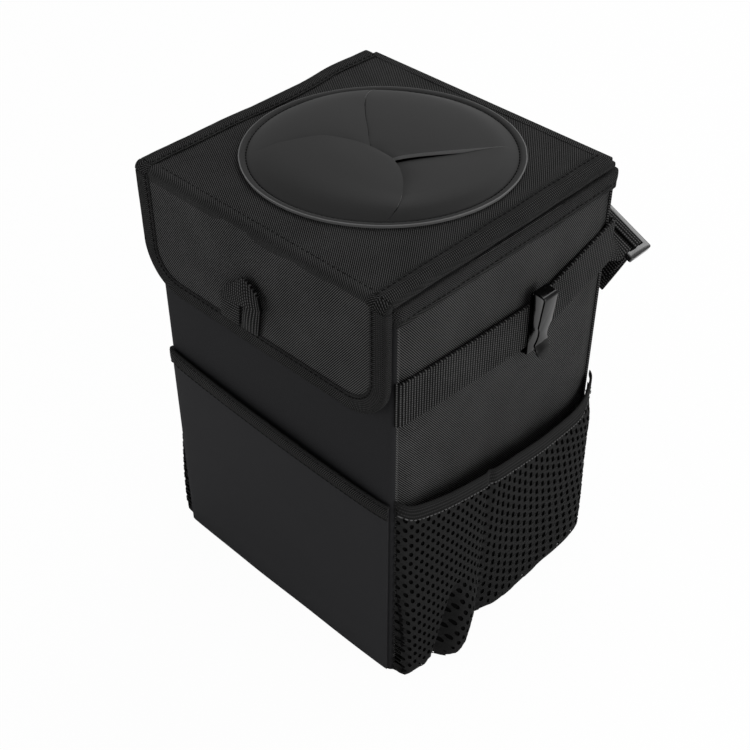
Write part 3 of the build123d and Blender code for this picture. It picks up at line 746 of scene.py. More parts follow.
@dataclass
class BinWalls:
    """The four cloth walls and the rim tape."""

    maker: Maker
    corner: float = 4.0
    corner_turn: float = 72.0
    cloth: float = 1.0
    seam_dip: float = 1.6
    seam_roll: float = 9.0
    # Width in millimetres of the painted highlight strip at each corner's seam end.
    highlight_strip: float = 2.3

    def __post_init__(self) -> None:
        """Reads the walls' places from the frame."""
        low, high = node_box("front_panel")
        self.half_x = high.x
        self.half_y = -low.y
        self.bottom = low.z
        self.top = high.z
        self.rim_low, self.rim_high = (corner.z for corner in node_box("rim_tape"))

    def corner_route(self, share: float) -> Pair:
        """The front wall's plan from its left seam round both corners to its right seam."""
        turn = math.radians(self.corner_turn)
        arc = turn * self.corner
        straight = 2 * (self.half_x - self.corner)
        distance = share * (2 * arc + straight)
        across = self.half_x - self.corner
        back = self.half_y - self.corner
        if distance < arc:
            angle = QUARTER - turn + distance / self.corner
            return -across - self.corner * math.cos(angle), -back - self.corner * math.sin(angle)
        if distance > arc + straight:
            angle = (distance - arc - straight) / self.corner
            return across + self.corner * math.sin(angle), -back - self.corner * math.cos(angle)
        return distance - arc - across, -self.half_y

    def end_wall(self, front: bool) -> None:
        """The front or the back wall with both corners."""
        turn = 1 if front else -1
        width = 2 * (self.half_x - self.corner) + math.pi * self.corner

        def place(along: float, across: float) -> tuple:
            x, y = self.corner_route(along)
            z = mix(self.bottom, self.top, across)
            dent = 0.25 * ripple(x, z, 3.0, 45.0) * smooth(math.sin(math.pi * along))
            return turn * x, turn * (y + abs(dent)), z

        end = "front" if front else "back"
        obj = cloth_grid(f"{end}_wall_cloth", (160, 60), place, (width, self.top - self.bottom))
        # The second cloth is a painted highlight: faces at the seam ends of the corner arcs take it, as a
        # lighter strip along each turned corner.
        self.maker.wardrobe.dress(obj, "front_cloth", "painted_corner_highlight")
        for face in obj.data.polygons:
            face.material_index = int(abs(face.center.y) / MM < self.half_y - self.corner + self.highlight_strip)
        thicken(obj, self.cloth)
        self.maker.done(obj, "bin", "front_cloth", replaces=[f"{end}_panel"])

    def side_wall(self, side: int) -> None:
        """The right or left wall, its edges drawn in at the seams."""
        half = node_box("right_panel")[1].y + 1.3

        def place(along: float, across: float) -> tuple:
            y = side * half * (2 * along - 1)
            z = mix(self.bottom, self.top, across)
            edge = half - abs(y)
            dip = self.seam_dip * (1 - smooth(edge / self.seam_roll))
            dip += 0.12 * (1 + ripple(y, z, side * 9.0, 34.0)) * smooth(edge / 20)
            return side * (self.half_x - dip), y, z

        name = side_name(side, "panel")
        obj = cloth_grid(name + "_cloth", (110, 70), place, (2 * half, self.top - self.bottom))
        thicken(obj, self.cloth * 0.8)
        self.maker.done(obj, "bin", "panel_cloth", "side_cloth", replaces=[name])

    def rim_route(self, share: float) -> tuple[Vector, Vector, Vector]:
        """The rim from the left side's back end round the front to the right side's."""
        back = node_box("rim_tape")[1].y
        spot, out = trough(share, self.half_x, -self.half_y, back, self.corner)
        return Vector((spot.x, spot.y, self.rim_high)), Vector((out.x, out.y, 0)), UP

    def rim_length(self) -> float:
        """The rim tape's length."""
        side = node_box("rim_tape")[1].y + self.half_y - self.corner
        return 2 * side + math.pi * self.corner + 2 * (self.half_x - self.corner)

    def rim(self) -> None:
        """The tape over the top edge, puckered by its seam, and its stitches."""
        tall = self.rim_high - self.rim_low
        length = self.rim_length()
        outer = [(0.75, -tall), (0.8, -0.82 * tall), (0.55, -0.7 * tall), (0.85, -0.52 * tall)]
        over = [(0.95, -0.3 * tall), (0.8, -0.9), (0.3, -0.15), (-1.4, 0), (-3.0, 0), (-4.2, -0.2)]
        inner = [(-4.6, -0.9), (-4.6, -0.5 * tall), (-4.5, -tall)]
        section = outer + over + inner

        def wavy(share: float) -> tuple[Vector, Vector, Vector]:
            point, out, up = self.rim_route(share)
            middle = smooth(1.2 - abs(point.y) / 60) * abs(out.x)
            point = point - up * (0.9 * middle) - out * (0.5 * middle)
            return point, out, up * (1 + 0.09 * ripple(share * length, 5.0, 2.0, 14.0))

        obj = self.maker.bands("rim_tape_cloth", wavy, section, 420, length, 0.32)
        self.maker.done(obj, "bin", "binding_tape", "binding_tape", replaces=["rim_tape"])
        width = section_length(section)
        self.maker.seam("rim_stitches", "bin", wavy, int(length / STITCH_PITCH), (0.72, -0.7 * tall), False)

    def build(self) -> None:
        """Makes every piece of the walls."""
        self.end_wall(True)
        self.end_wall(False)
        self.side_wall(1)
        self.side_wall(-1)
        self.rim()


@dataclass
class FrontPocket:
    """The flat pocket on the front and the tape along its slanting mouth."""

    maker: Maker
    walls: BinWalls
    bulge: float = 2.6
    gap: float = 1.05
    tape: float = 10.5
    edge: float = 2.5
    left: float = 132.0
    right: float = 125.0

    def out(self, x: float) -> float:
        """How far the pocket stands out from the wall."""
        share = min(abs(x) / (self.walls.half_x - self.edge), 1.0)
        return self.bulge * math.sqrt(max(1 - share * share, 0.0))

    def mouth(self, x: float) -> float:
        """The mouth's level."""
        return mix(self.left, self.right, (x / self.walls.half_x + 1) / 2)

    def build(self) -> None:
        """Makes the pocket, its tape and its stitches."""
        half = self.walls.half_x - self.edge
        front = -self.walls.half_y
        low = self.walls.bottom

        def cloth(along: float, across: float) -> tuple:
            x = half * (2 * along - 1)
            z = mix(low, self.mouth(x) - 1.5, across)
            taper = mix(0.35, 1.0, smooth(across * 5))
            sag = 0.3 * ripple(x, z, 1.0, 38.0) * math.sin(math.pi * along)
            return x, front - self.gap - self.out(x) * taper + sag, z

        pocket = cloth_grid("front_pocket_cloth", (90, 50), cloth, (2 * half, self.left - low))
        thicken(pocket, CLOTH_THICKNESS)
        self.maker.done(pocket, "bin", "front_cloth", "pocket_cloth", replaces=["front_pocket"])
        flat = (2 * half * MM, (self.left - low - 3) * MM)
        reach = node_box("front_pocket_tape")[1].x

        def route(share: float) -> tuple[Vector, Vector, Vector]:
            x = reach * (2 * share - 1)
            y = front - self.gap - self.out(x)
            return Vector((x, y, self.mouth(x))), FORWARD, UP

        tall = self.tape
        section = [(0.5, -tall), (1.0, -0.86 * tall), (1.2, -0.5 * tall), (1.1, -0.2 * tall)]
        section += [(0.75, -0.5), (0.1, 0), (-0.6, -0.4), (-0.9, -2.0)]
        band = self.maker.bands("front_pocket_tape_cloth", route, section, 120, 2 * reach, 0.12)
        self.maker.done(band, "bin", "binding_tape", "binding_tape", replaces=["front_pocket_tape"])
        flat = (2 * reach * MM, section_length(section) * MM)
        count = int(2 * reach / 3.0)
        for name, level in (("upper", 0.17), ("lower", 0.88)):
            shift = (0.95, -level * tall)
            self.maker.seam(f"front_pocket_{name}_stitches", "bin", route, count, shift, False, 0.8)


@dataclass
class MeshPocket:
    """A bulging pocket of knitted mesh on one side, with its elastic hem."""

    maker: Maker
    walls: BinWalls
    side: int
    bulge: float = 10.5
    pouch: float = 7.5
    crease: float = 6.0
    pinch: float = 3.6
    hem: float = 10.0
    front: float = 125.0
    back: float = 104.0
    sag: float = 3.0
    edge: float = 1.5
    pitch: float = 3.2
    row: float = 3.3
    pleat_place: float = -18.0
    # How far the painted shade sheet lies behind the net's face, in millimetres.
    depth: float = 1.1
    fold_foot: float = -55.0
    fold_lean: float = 0.36
    mouth_square: float = 2.2
    rows: int = 44
    columns: int = 54

    def mouth(self, y: float) -> float:
        """The hem's top level, sagging from the front seam down to the back one."""
        share = (y / self.walls.half_y + 1) / 2
        rise = mix(self.front, self.back, share)
        turned_up = 4.0 * hump(y, -self.walls.half_y, 5.0) + 12.0 * hump(y, self.walls.half_y, 10.0)
        return rise + turned_up - self.sag * (1 - (2 * share - 1) ** 2)

    def out(self, y: float, z: float) -> float:
        """How far the net stands out from the wall."""
        half = self.walls.half_y - self.edge
        share = min(max(z / self.front, 0.0), 1.0)
        along = min(abs(y) / half, 1.0)
        low_square, high_square = (7.0, 2.2) if y < 0 else (5.5, 3.6)
        square = mix(low_square, high_square, smooth(share * 1.6))
        square = mix(square, self.mouth_square, smooth((share - 0.68) / 0.14))
        arch = (1 - along**square) ** (1 / square)
        low = 1 - smooth((z - 18) / 34)
        line = self.fold_foot + self.fold_lean * z
        folds = self.pouch * hump(y, line + 11.5, 11.0) * low
        folds -= self.crease * hump(y, line, 3.2) * (1 - smooth((z - 30) / 24))
        folds -= self.pinch * hump(y, self.pleat_place, 9.0) * (1 - smooth((z - 10) / 70))
        folds -= 1.5 * hump(y, self.pleat_place, 1.6)
        folds += 0.5 * ripple(y, z, 5.0 * self.side, 26.0)
        lift = self.bulge * arch + folds * arch ** (square / 2)
        return max(lift - 1.4 * (1 - smooth(z / 5)), 0.0)

    def point(self, y: float, z: float, lift: float = 0.0) -> Vector:
        """A point of the net's face."""
        return Vector((self.side * (self.walls.half_x + 0.15 + self.out(y, z) + lift), y, z))

    def spot(self, column: float, row: float) -> Pair:
        """Where a place of the knitted net lies on the pocket, as (y, z)."""
        half = self.walls.half_y - self.edge
        y = -half + column * self.pitch
        over = max(y - self.pleat_place, 0.0)
        y += 0.22 * over
        slope = 0.10 * (y + half)
        z = self.mouth(max(min(y, half), -half)) - self.hem + 2.5
        z = z - row * self.row - slope * smooth((half - y) / 60)
        lean = 0.36 * (self.front - self.hem - z) * smooth(over / 70)
        return y + lean + 0.35 * ripple(column, row, 3.0, 6.0), z

    def net(self) -> None:
        """The net as strands round staggered oval holes, laid on the pocket's face."""
        half = self.walls.half_y - self.edge
        ring = ((0, 2 / 3), (0.5, 1 / 2), (1, 1 / 3), (1, 0), (1, -1 / 3), (0.5, -1 / 2))
        ring += tuple((-across, -up) for across, up in ring)
        sides = len(ring)
        vertices = []
        faces = []
        for row in range(-1, self.rows):
            for column in range(row % 2, self.columns, 2):
                y, z = self.spot(column, row)
                if abs(y) > half + 1.5 or z < 0.2 or z > self.mouth(y) - self.hem + 3.5:
                    continue
                narrow = smooth((y - self.pleat_place) / 8)
                opened = mix(0.3, 1.0, smooth((z - 2) / 8))
                wide = mix(0.37, 0.26, narrow) * opened
                tall = mix(0.47, 0.72, narrow) * opened
                start = len(vertices)
                for inner in range(2):
                    for across, up in ring:
                        lift = 0.12
                        if inner:
                            length = math.hypot(across * 1.6, up * 2.4)
                            across, up = across * 1.6 * wide / length, up * 2.4 * tall / length
                            lift = -0.22
                        place, level = self.spot(column + across, row - up)
                        place = min(max(place, -half), half)
                        vertices.append(self.point(place, max(level, 0.8), lift) * MM)
                for index in range(sides):
                    after = (index + 1) % sides
                    face = (start + index, start + sides + index, start + sides + after, start + after)
                    faces.append(face if self.side > 0 else face[::-1])
        name = self.name("mesh_pocket")
        obj = add_mesh(name + "_net", vertices, faces)
        weld(obj, 0.08)
        thicken(obj, 0.6)
        self.maker.done(obj, "bin", "mesh", "net", replaces=[name], angle=60)
        self.name("panel")

    def name(self, piece: str) -> str:
        """A piece's name on this side."""
        return side_name(self.side, piece)

    def net_back(self) -> None:
        """A near-black sheet behind the net and over the pocket's floor: painted shade for the shadow inside
        the pocket, seen through the holes.
        """
        half = self.walls.half_y - self.edge - 0.4
        floor_share = 0.12

        def place(along: float, across: float) -> Vector:
            y = self.side * half * (2 * along - 1)
            if across < floor_share:
                reach = across / floor_share
                outer = self.point(y, 1.2, -self.depth)
                return Vector((mix(self.side * self.walls.half_x, outer.x, reach), y, mix(0.5, 1.2, reach)))
            top = self.mouth(y) - self.hem + 2
            return self.point(y, mix(1.2, top, (across - floor_share) / (1 - floor_share)), -self.depth)

        tall = self.front - self.hem + self.bulge
        obj = cloth_grid(self.name("mesh_pocket_back"), (110, 60), place, (2 * half, tall))
        thicken(obj, 0.3)
        self.maker.done(obj, "bin", "mesh", "net_shade")
        self.name("panel")

    def hem_band(self) -> None:
        """The elastic hem with its stitches."""
        reach = self.walls.half_y - 1.2
        name = self.name("elastic_hem")
        tall = self.hem

        def place(along: float, across: float) -> tuple:
            y = self.side * reach * (2 * along - 1)
            lift, rise = along_section(section, across)
            z = self.mouth(y) + rise
            return self.point(y, min(z, self.mouth(y)), lift + 0.12 * ripple(y, rise, 8.0, 9.0))

        section = [(0.55, -tall), (0.85, -0.93 * tall), (0.8, -0.6 * tall), (0.9, -0.2 * tall), (0.7, -0.6)]
        section += [(0.1, 0.0), (-0.6, -0.4), (-0.8, -1.5), (-0.8, -0.5 * tall)]
        obj = cloth_grid(name + "_band", (120, len(section) - 1), place, (2 * reach, section_length(section)))
        turn_map(obj)
        thicken(obj, 0.6)
        round_off(obj)
        self.maker.done(obj, "bin", "elastic", "elastic", replaces=[name])
        flat = (2 * reach * MM * 1.03, section_length(section) * MM)
        count = int(2 * reach / 2.2)
        seam = []
        for index in range(count + 1):
            y = reach * (2 * index / count - 1)
            z = self.mouth(y) - tall + 0.8
            seam.append((self.point(y, z, 0.95), Vector((self.side, 0, 0))))
        self.maker.stitches(name + "_stitches", "bin", seam, "thread", 1.1)

    def build(self) -> None:
        """Makes the pocket."""
        self.net()
        self.net_back()
        self.hem_band()


@dataclass(frozen=True)
class Petal:
    """One petal of the disc: its two cut edges from the rim to the tip, as points above the lid's cloth."""

    name: str
    arc: Pair
    start: tuple[tuple[float, float, float], ...]
    end: tuple[tuple[float, float, float], ...]
    crown: float


PETALS = (
    Petal(
        "front_petal",
        (225.0, 315.0),
        (
            (-40.5, -40.5, 5.2), (-35.0, -35.0, 8.6), (-28.0, -28.0, 10.9), (-20.7, -19.1, 12.0),
            (-8.9, -11.8, 11.3), (0.9, -8.4, 10.3), (12.5, -7.0, 8.6),
        ),
        (
            (41.0, -33.9, 7.4), (35.7, -25.0, 8.0), (28.9, -17.2, 8.3), (20.7, -10.7, 8.4),
            (12.5, -7.0, 8.6),
        ),
        1.4,
    ),
    Petal(
        "right_petal",
        (-45.0, 45.0),
        (
            (41.3, -33.6, 7.2), (35.0, -25.5, 6.9), (27.0, -18.5, 5.6), (18.0, -12.0, 4.4),
            (11.0, -6.0, 4.0),
        ),
        (
            (41.1, 39.7, 5.9), (36.4, 30.6, 6.7), (29.9, 20.5, 6.1), (21.3, 9.2, 5.3),
            (15.6, 1.7, 4.6), (11.0, -6.0, 4.0),
        ),
        1.6,
    ),
    Petal(
        "back_petal",
        (45.0, 135.0),
        (
            (41.0, 39.8, 6.0), (36.2, 30.8, 7.4), (29.7, 20.7, 8.0), (21.1, 9.4, 8.0),
            (15.4, 1.9, 7.6), (12.5, -3.0, 7.4), (9.0, -8.5, 6.0),
        ),
        (
            (-42.0, 37.0, 5.4), (-38.0, 29.0, 7.6), (-32.4, 21.6, 8.5), (-21.8, 11.2, 8.7),
            (-11.8, 2.7, 8.3), (-4.4, -4.0, 7.6), (9.0, -8.5, 6.0),
        ),
        1.0,
    ),
    Petal(
        "left_petal",
        (135.0, 225.0),
        (
            (-42.1, 36.9, 5.5), (-38.2, 28.8, 8.0), (-32.6, 21.4, 9.0), (-22.0, 11.0, 9.3),
            (-12.0, 2.5, 9.0), (-4.6, -4.2, 8.2), (4.0, -9.5, 6.5),
        ),
        (
            (-41.0, -41.0, 4.6), (-35.0, -36.0, 6.8), (-28.0, -30.0, 8.0), (-20.0, -21.0, 8.4),
            (-9.0, -13.5, 8.0), (0.0, -11.0, 7.2), (4.0, -9.5, 6.5),
        ),
        1.6,
    ),
)


@dataclass
class Lid:
    """The lid's cloth, its tapes and its foam disc."""

    maker: Maker
    tape: float = 11.0
    rim: float = 4.0
    foam: float = 2.0
    hinge_fold: float = 2.4
    oval: Pair = (1.036, 0.955)
    oval_turn: float = 43.9
    shift: Pair = (-2.4, 2.5)

    def __post_init__(self) -> None:
        """Reads the lid's places from the frame."""
        low, high = node_box("lid_top_panel")
        self.half_x = high.x
        self.front = low.y
        self.back = high.y
        self.top = high.z
        self.disc = node_box("slit_disc")[1].x
        self.hole = self.disc - 9.0

    def outline(self, angle: float) -> Pair:
        """A point of the lid's square outline by its angle about the disc."""
        across = math.cos(angle)
        along = math.sin(angle)
        ends = self.back if along > 0 else -self.front
        reach = min(self.half_x / max(abs(across), 1e-9), (ends - self.hinge_fold) / max(abs(along), 1e-9))
        return across * reach, along * reach

    def height(self, x: float, y: float) -> float:
        """The cloth's level, a little uneven between the disc and the edges."""
        away = math.hypot(x, y) - self.disc
        calm = smooth(away / 8) * smooth((self.half_x - abs(x)) / 8)
        return self.top - 0.25 * calm * (1 + ripple(x, y, 4.0, 22.0))

    def top_cloth(self) -> None:
        """The square of cloth with its round hole."""

        def place(along: float, across: float) -> tuple:
            angle = 2 * math.pi * along
            x, y = self.outline(angle)
            inner = (self.hole * math.cos(angle), self.hole * math.sin(angle))
            spot = (mix(inner[0], x, across), mix(inner[1], y, across))
            return spot[0], spot[1], self.height(*spot)

        obj = cloth_grid("lid_top_cloth", (240, 26), place, (1, 1))
        lay_map(obj, lambda point: (point.x, point.y))
        weld(obj)
        edit_all(obj, bpy.ops.mesh.normals_make_consistent, inside=False)
        face_up(obj)
        thicken(obj, CLOTH_THICKNESS)
        self.maker.done(obj, "lid", "panel_cloth", "lid_cloth", replaces=["lid_top_panel"])

    def side_tape(self, side: int) -> None:
        """The tape folded over one edge of the lid."""
        low, high = node_box("lid_tape")
        outer = high.x
        width = self.tape + (0.8 if side > 0 else -2.0)
        length = high.y - low.y

        def route(share: float) -> tuple[Vector, Vector, Vector]:
            y = mix(low.y, high.y, share if side > 0 else 1 - share)
            lean = 0.35 * ripple(y, 3.0 * side, 1.0, 20.0)
            if side < 0:
                lean += 1.3 * hump(y, 48.0, 16.0) - 1.6 * hump(y, 8.0, 22.0)
            return Vector((side * (outer + lean), y, high.z)), Vector((side, 0, 0)), UP

        section = [(-2.6, -3.3), (-1.1, -3.2), (-0.25, -2.9), (0, -2.4), (0, -1.2), (-0.3, -0.3)]
        section += [(-1.2, 0.05), (-0.35 * width, 0.15), (-0.7 * width, 0)]
        section += [(-0.84 * width, -0.2), (-width, 0)]
        obj = self.maker.bands(side_name(side, "lid_tape_cloth"), route, section, 130, length, 0.16)
        nodes = ["lid_tape"] if side > 0 else []
        self.maker.done(obj, "lid", "binding_tape", "binding_tape", replaces=nodes)
        section_length(section) * MM
        row = side_name(side, "lid_tape_stitches")
        self.maker.seam(row, "lid", route, int(length / STITCH_PITCH), (-0.84 * width, -0.05), True)

    def rim_spot(self, angle: float, reach: float) -> Vector:
        """A point round the disc, whose sewn rim is drawn a little oval."""
        turn = math.radians(self.oval_turn)
        across = reach * math.cos(angle - turn) * self.oval[0]
        along = reach * math.sin(angle - turn) * self.oval[1]
        x = across * math.cos(turn) - along * math.sin(turn) + self.shift[0]
        return Vector((x, across * math.sin(turn) + along * math.cos(turn) + self.shift[1], 0))

    def petal(self, form: Petal) -> bpy.types.Object:
        """One petal of the disc, from the rim to its tip."""
        inner = self.disc - self.rim
        start, end = (math.radians(angle) for angle in form.arc)
        base = Vector((0, 0, self.top))
        lift = Vector((0, 0, 1.2))
        edges = []
        for angle, side in ((start, form.start), (end, form.end)):
            edges.append([self.rim_spot(angle, inner) + lift] + [Vector(point) for point in side])

        def place(along: float, across: float) -> Vector:
            first, last = (curve_point(edge, across) for edge in edges)
            angle = mix(start, end, along)
            chord = edges[0][0].lerp(edges[1][0], along)
            arc = self.rim_spot(angle, inner) + lift
            point = first.lerp(last, along) + (arc - chord) * (1 - across) ** 1.4
            point.z += form.crown * math.sin(math.pi * along) * math.sin(math.pi * across**0.75)
            point.z += 0.12 * ripple(point.x, point.y, 2.0, 18.0) * math.sin(math.pi * across)
            return base + point

        obj = cloth_grid(form.name, (48, 44), place, (90, 60))
        weld(obj, 0.02)
        face_up(obj)
        self.maker.wardrobe.dress(obj, "foam_face", "foam_cut_edge")
        thicken(obj, self.foam, 1)
        return obj

    def disc_rim(self) -> bpy.types.Object:
        """The flat stitched rim of the disc."""
        outer = self.disc
        inner = outer - self.rim
        levels = [(inner - 1.5, -1.6), (inner - 0.2, -1.1), (inner + 0.4, -1.0), (inner + 1.0, -0.25)]
        levels += [(inner + 1.8, 0), (outer - 0.8, 0), (outer - 0.25, -0.2)]

        def place(along: float, across: float) -> tuple:
            angle = 2 * math.pi * along
            reach, rise = along_section(levels, across)
            reach += 0.12 * ripple(math.cos(angle) * 60, math.sin(angle) * 60, 1.0, 9.0)
            return self.rim_spot(angle, reach) + Vector((0, 0, self.top + self.foam + rise))

        rows = len(levels) - 1
        obj = cloth_grid("disc_rim", (240, rows), place, (2 * math.pi * outer, self.rim))
        weld(obj)
        face_up(obj)
        self.maker.wardrobe.dress(obj, "foam_face", "foam_cut_edge")
        layer = obj.data.uv_layers.active.data
        outermost = self.rim * MM * (1 - 1.1 / rows)
        for face in obj.data.polygons:
            face.material_index = int(min(layer[index].uv.y for index in face.loop_indices) > outermost)
        thicken(obj, self.foam * 0.85, 1)
        return obj

    def foam_disc(self) -> None:
        """The whole disc as one piece, with the seam round its rim."""
        parts = [self.petal(form) for form in PETALS]
        rim = self.disc_rim()
        activate(rim)
        for part in parts:
            part.select_set(True)
        bpy.ops.object.join()
        rim.name = "foam_disc"
        self.maker.done(rim, "lid", "disc_foam", replaces=["slit_disc"])

        def route(share: float) -> tuple[Vector, Vector, Vector]:
            spot = self.rim_spot(2 * math.pi * share, self.disc - self.rim + 0.3)
            return spot + Vector((0, 0, self.top + self.foam - 0.95)), FORWARD, UP

        self.maker.seam("disc_stitches", "lid", route, 150, (0, 0), True)

    def build(self) -> None:
        """Makes the lid's pieces."""
        self.top_cloth()
        self.side_tape(1)
        self.side_tape(-1)
        self.foam_disc()


@dataclass
class Flap:
    """The front flap with its tape, and the folds that join it and the lid."""

    maker: Maker
    radius: float = 24.0
    tape: float = 10.0
    fold: float = 3.2

    def __post_init__(self) -> None:
        """Reads the flap's places from the frame."""
        low, high = node_box("flap_panel")
        self.half_x = high.x
        self.outer = low.y
        self.bottom = low.z
        self.top = high.z

    def half_width(self, z: float) -> float:
        """Half the flap's width at a level."""
        rise = z - self.bottom
        if rise >= self.radius:
            return self.half_x
        drop = self.radius - rise
        return self.half_x - self.radius + math.sqrt(max(self.radius**2 - drop**2, 0.0))

    def panel(self) -> None:
        """The flap's cloth, a little fuller in its middle."""

        def place(along: float, across: float) -> tuple:
            z = mix(self.bottom, self.top - self.fold, across**1.15)
            x = self.half_width(z) * (2 * along - 1)
            full = math.sin(math.pi * along) * math.sin(math.pi * across)
            return x, self.outer - 0.35 * full - 0.12 * ripple(x, z, 7.0, 30.0), z

        tall = self.top - self.bottom
        obj = cloth_grid("flap_cloth", (100, 60), place, (2 * self.half_x, tall))
        lay_map(obj, lambda point: (-point.x, point.z))
        thicken(obj, CLOTH_THICKNESS)
        self.maker.done(obj, "flap", "panel_cloth", "flap_cloth", replaces=["flap_panel"])

    def route(self, share: float) -> tuple[Vector, Vector, Vector]:
        """The flap's edge from its left top, round its lower corners, to its right top."""
        spot, out = trough(share, self.half_x, self.bottom, node_box("flap_tape")[1].z, self.radius)
        return Vector((spot.x, 0, spot.y)), Vector((out.x, 0, out.y)), FORWARD

    def edge_tape(self) -> None:
        """The tape round the flap and its stitches."""
        low, high = node_box("flap_tape")
        side = high.z - self.bottom - self.radius
        length = 2 * side + math.pi * self.radius + 2 * (self.half_x - self.radius)
        front = -low.y
        back = -high.y
        reach = self.tape - 0.8
        section = [(-reach, back + 0.1), (-0.5 * reach, back), (0.2, back + 0.1), (0.75, back + 0.8)]
        section += [(0.8, (front + back) / 2), (0.75, front - 0.9), (0.3, front - 0.2), (-0.6, front)]
        section += [(-0.45 * reach, front + 0.05), (-0.8 * reach, front - 0.12), (-reach, front - 0.05)]
        obj = self.maker.bands("flap_tape_cloth", self.route, section, 260, length, 0.14)
        self.maker.done(obj, "flap", "binding_tape", "binding_tape", replaces=["flap_tape"])
        flat = (length * MM, section_length(section) * MM)
        shift = (-0.8 * reach, front + 0.05)
        self.maker.seam("flap_stitches", "flap", self.route, int(length / STITCH_PITCH), shift, True)

    def turned(self, angle: float, radius: float, x: float) -> Vector:
        """A point of the front fold by its angle from the lid's top, on a radius about the fold's inside."""
        middle = self.outer + self.fold
        return Vector((x, middle - radius * math.sin(angle), self.top - self.fold + radius * math.cos(angle)))

    def front_fold(self) -> None:
        """The cloth and the two ends of tape that turn from the lid over to the flap."""
        lead = 2.7
        end = 0.26
        wide, deep = 2 * self.half_x, 2 * lead + 1.6 * self.fold

        def cloth(along: float, across: float) -> Vector:
            x = self.half_x * 0.985 * (1 - 2 * along)
            angle = QUARTER * min(max((across - end) / (1 - 2 * end), 0.0), 1.0)
            point = self.turned(angle, self.fold + 0.03, x)
            point.y += lead * max(end - across, 0.0) / end
            point.z -= lead * max(across - 1 + end, 0.0) / end
            return point + Vector((0, 0, 0.08 * ripple(x, across * 4, 2.0, 12.0)))

        piece = cloth_grid("front_fold_cloth", (110, 14), cloth, (wide, deep))
        turn_map(piece)
        thicken(piece, CLOTH_THICKNESS)
        self.maker.done(piece, None, "panel_cloth", "lid_cloth")
        self.bend(piece)
        for side, width in ((1, 11.8), (-1, 9.0)):
            outer = self.half_x + 0.8
            section = [(outer - width, 0.75), (outer - 0.8 * width, 0.7), (outer - 0.5 * width, 0.85)]
            section += [(outer - 0.9, 0.8), (outer - 0.2, 0.4), (outer, -0.5), (outer, -1.8)]
            section.append((outer - 0.1, -2.7))

            def tape(along: float, across: float) -> Vector:
                x, lift = along_section(section, across)
                angle = QUARTER * (along if side > 0 else 1 - along)
                return self.turned(angle, self.fold + lift + 0.03, side * x)

            size = (1.6 * self.fold, section_length(section))
            piece = cloth_grid(side_name(side, "corner_tape"), (14, len(section) - 1), tape, size)
            thicken(piece, TAPE_THICKNESS)
            round_off(piece)
            self.maker.done(piece, None, "binding_tape", "binding_tape")
            self.bend(piece)
        reach = self.half_x - 12

        def route(share: float) -> tuple[Vector, Vector, Vector]:
            return Vector((mix(-reach, reach, share), self.outer + 5.6, self.top - 0.12)), FORWARD, UP

        self.maker.seam("fold_stitches", "lid", route, int(2 * reach / 3.1), (0, 0), True)

    def bend(self, piece: bpy.types.Object) -> None:
        """Bakes the transform of a piece of the fold into its mesh."""
        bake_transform(piece)

    def build(self) -> None:
        """Makes the flap's pieces."""
        self.panel()
        self.edge_tape()
        self.front_fold()


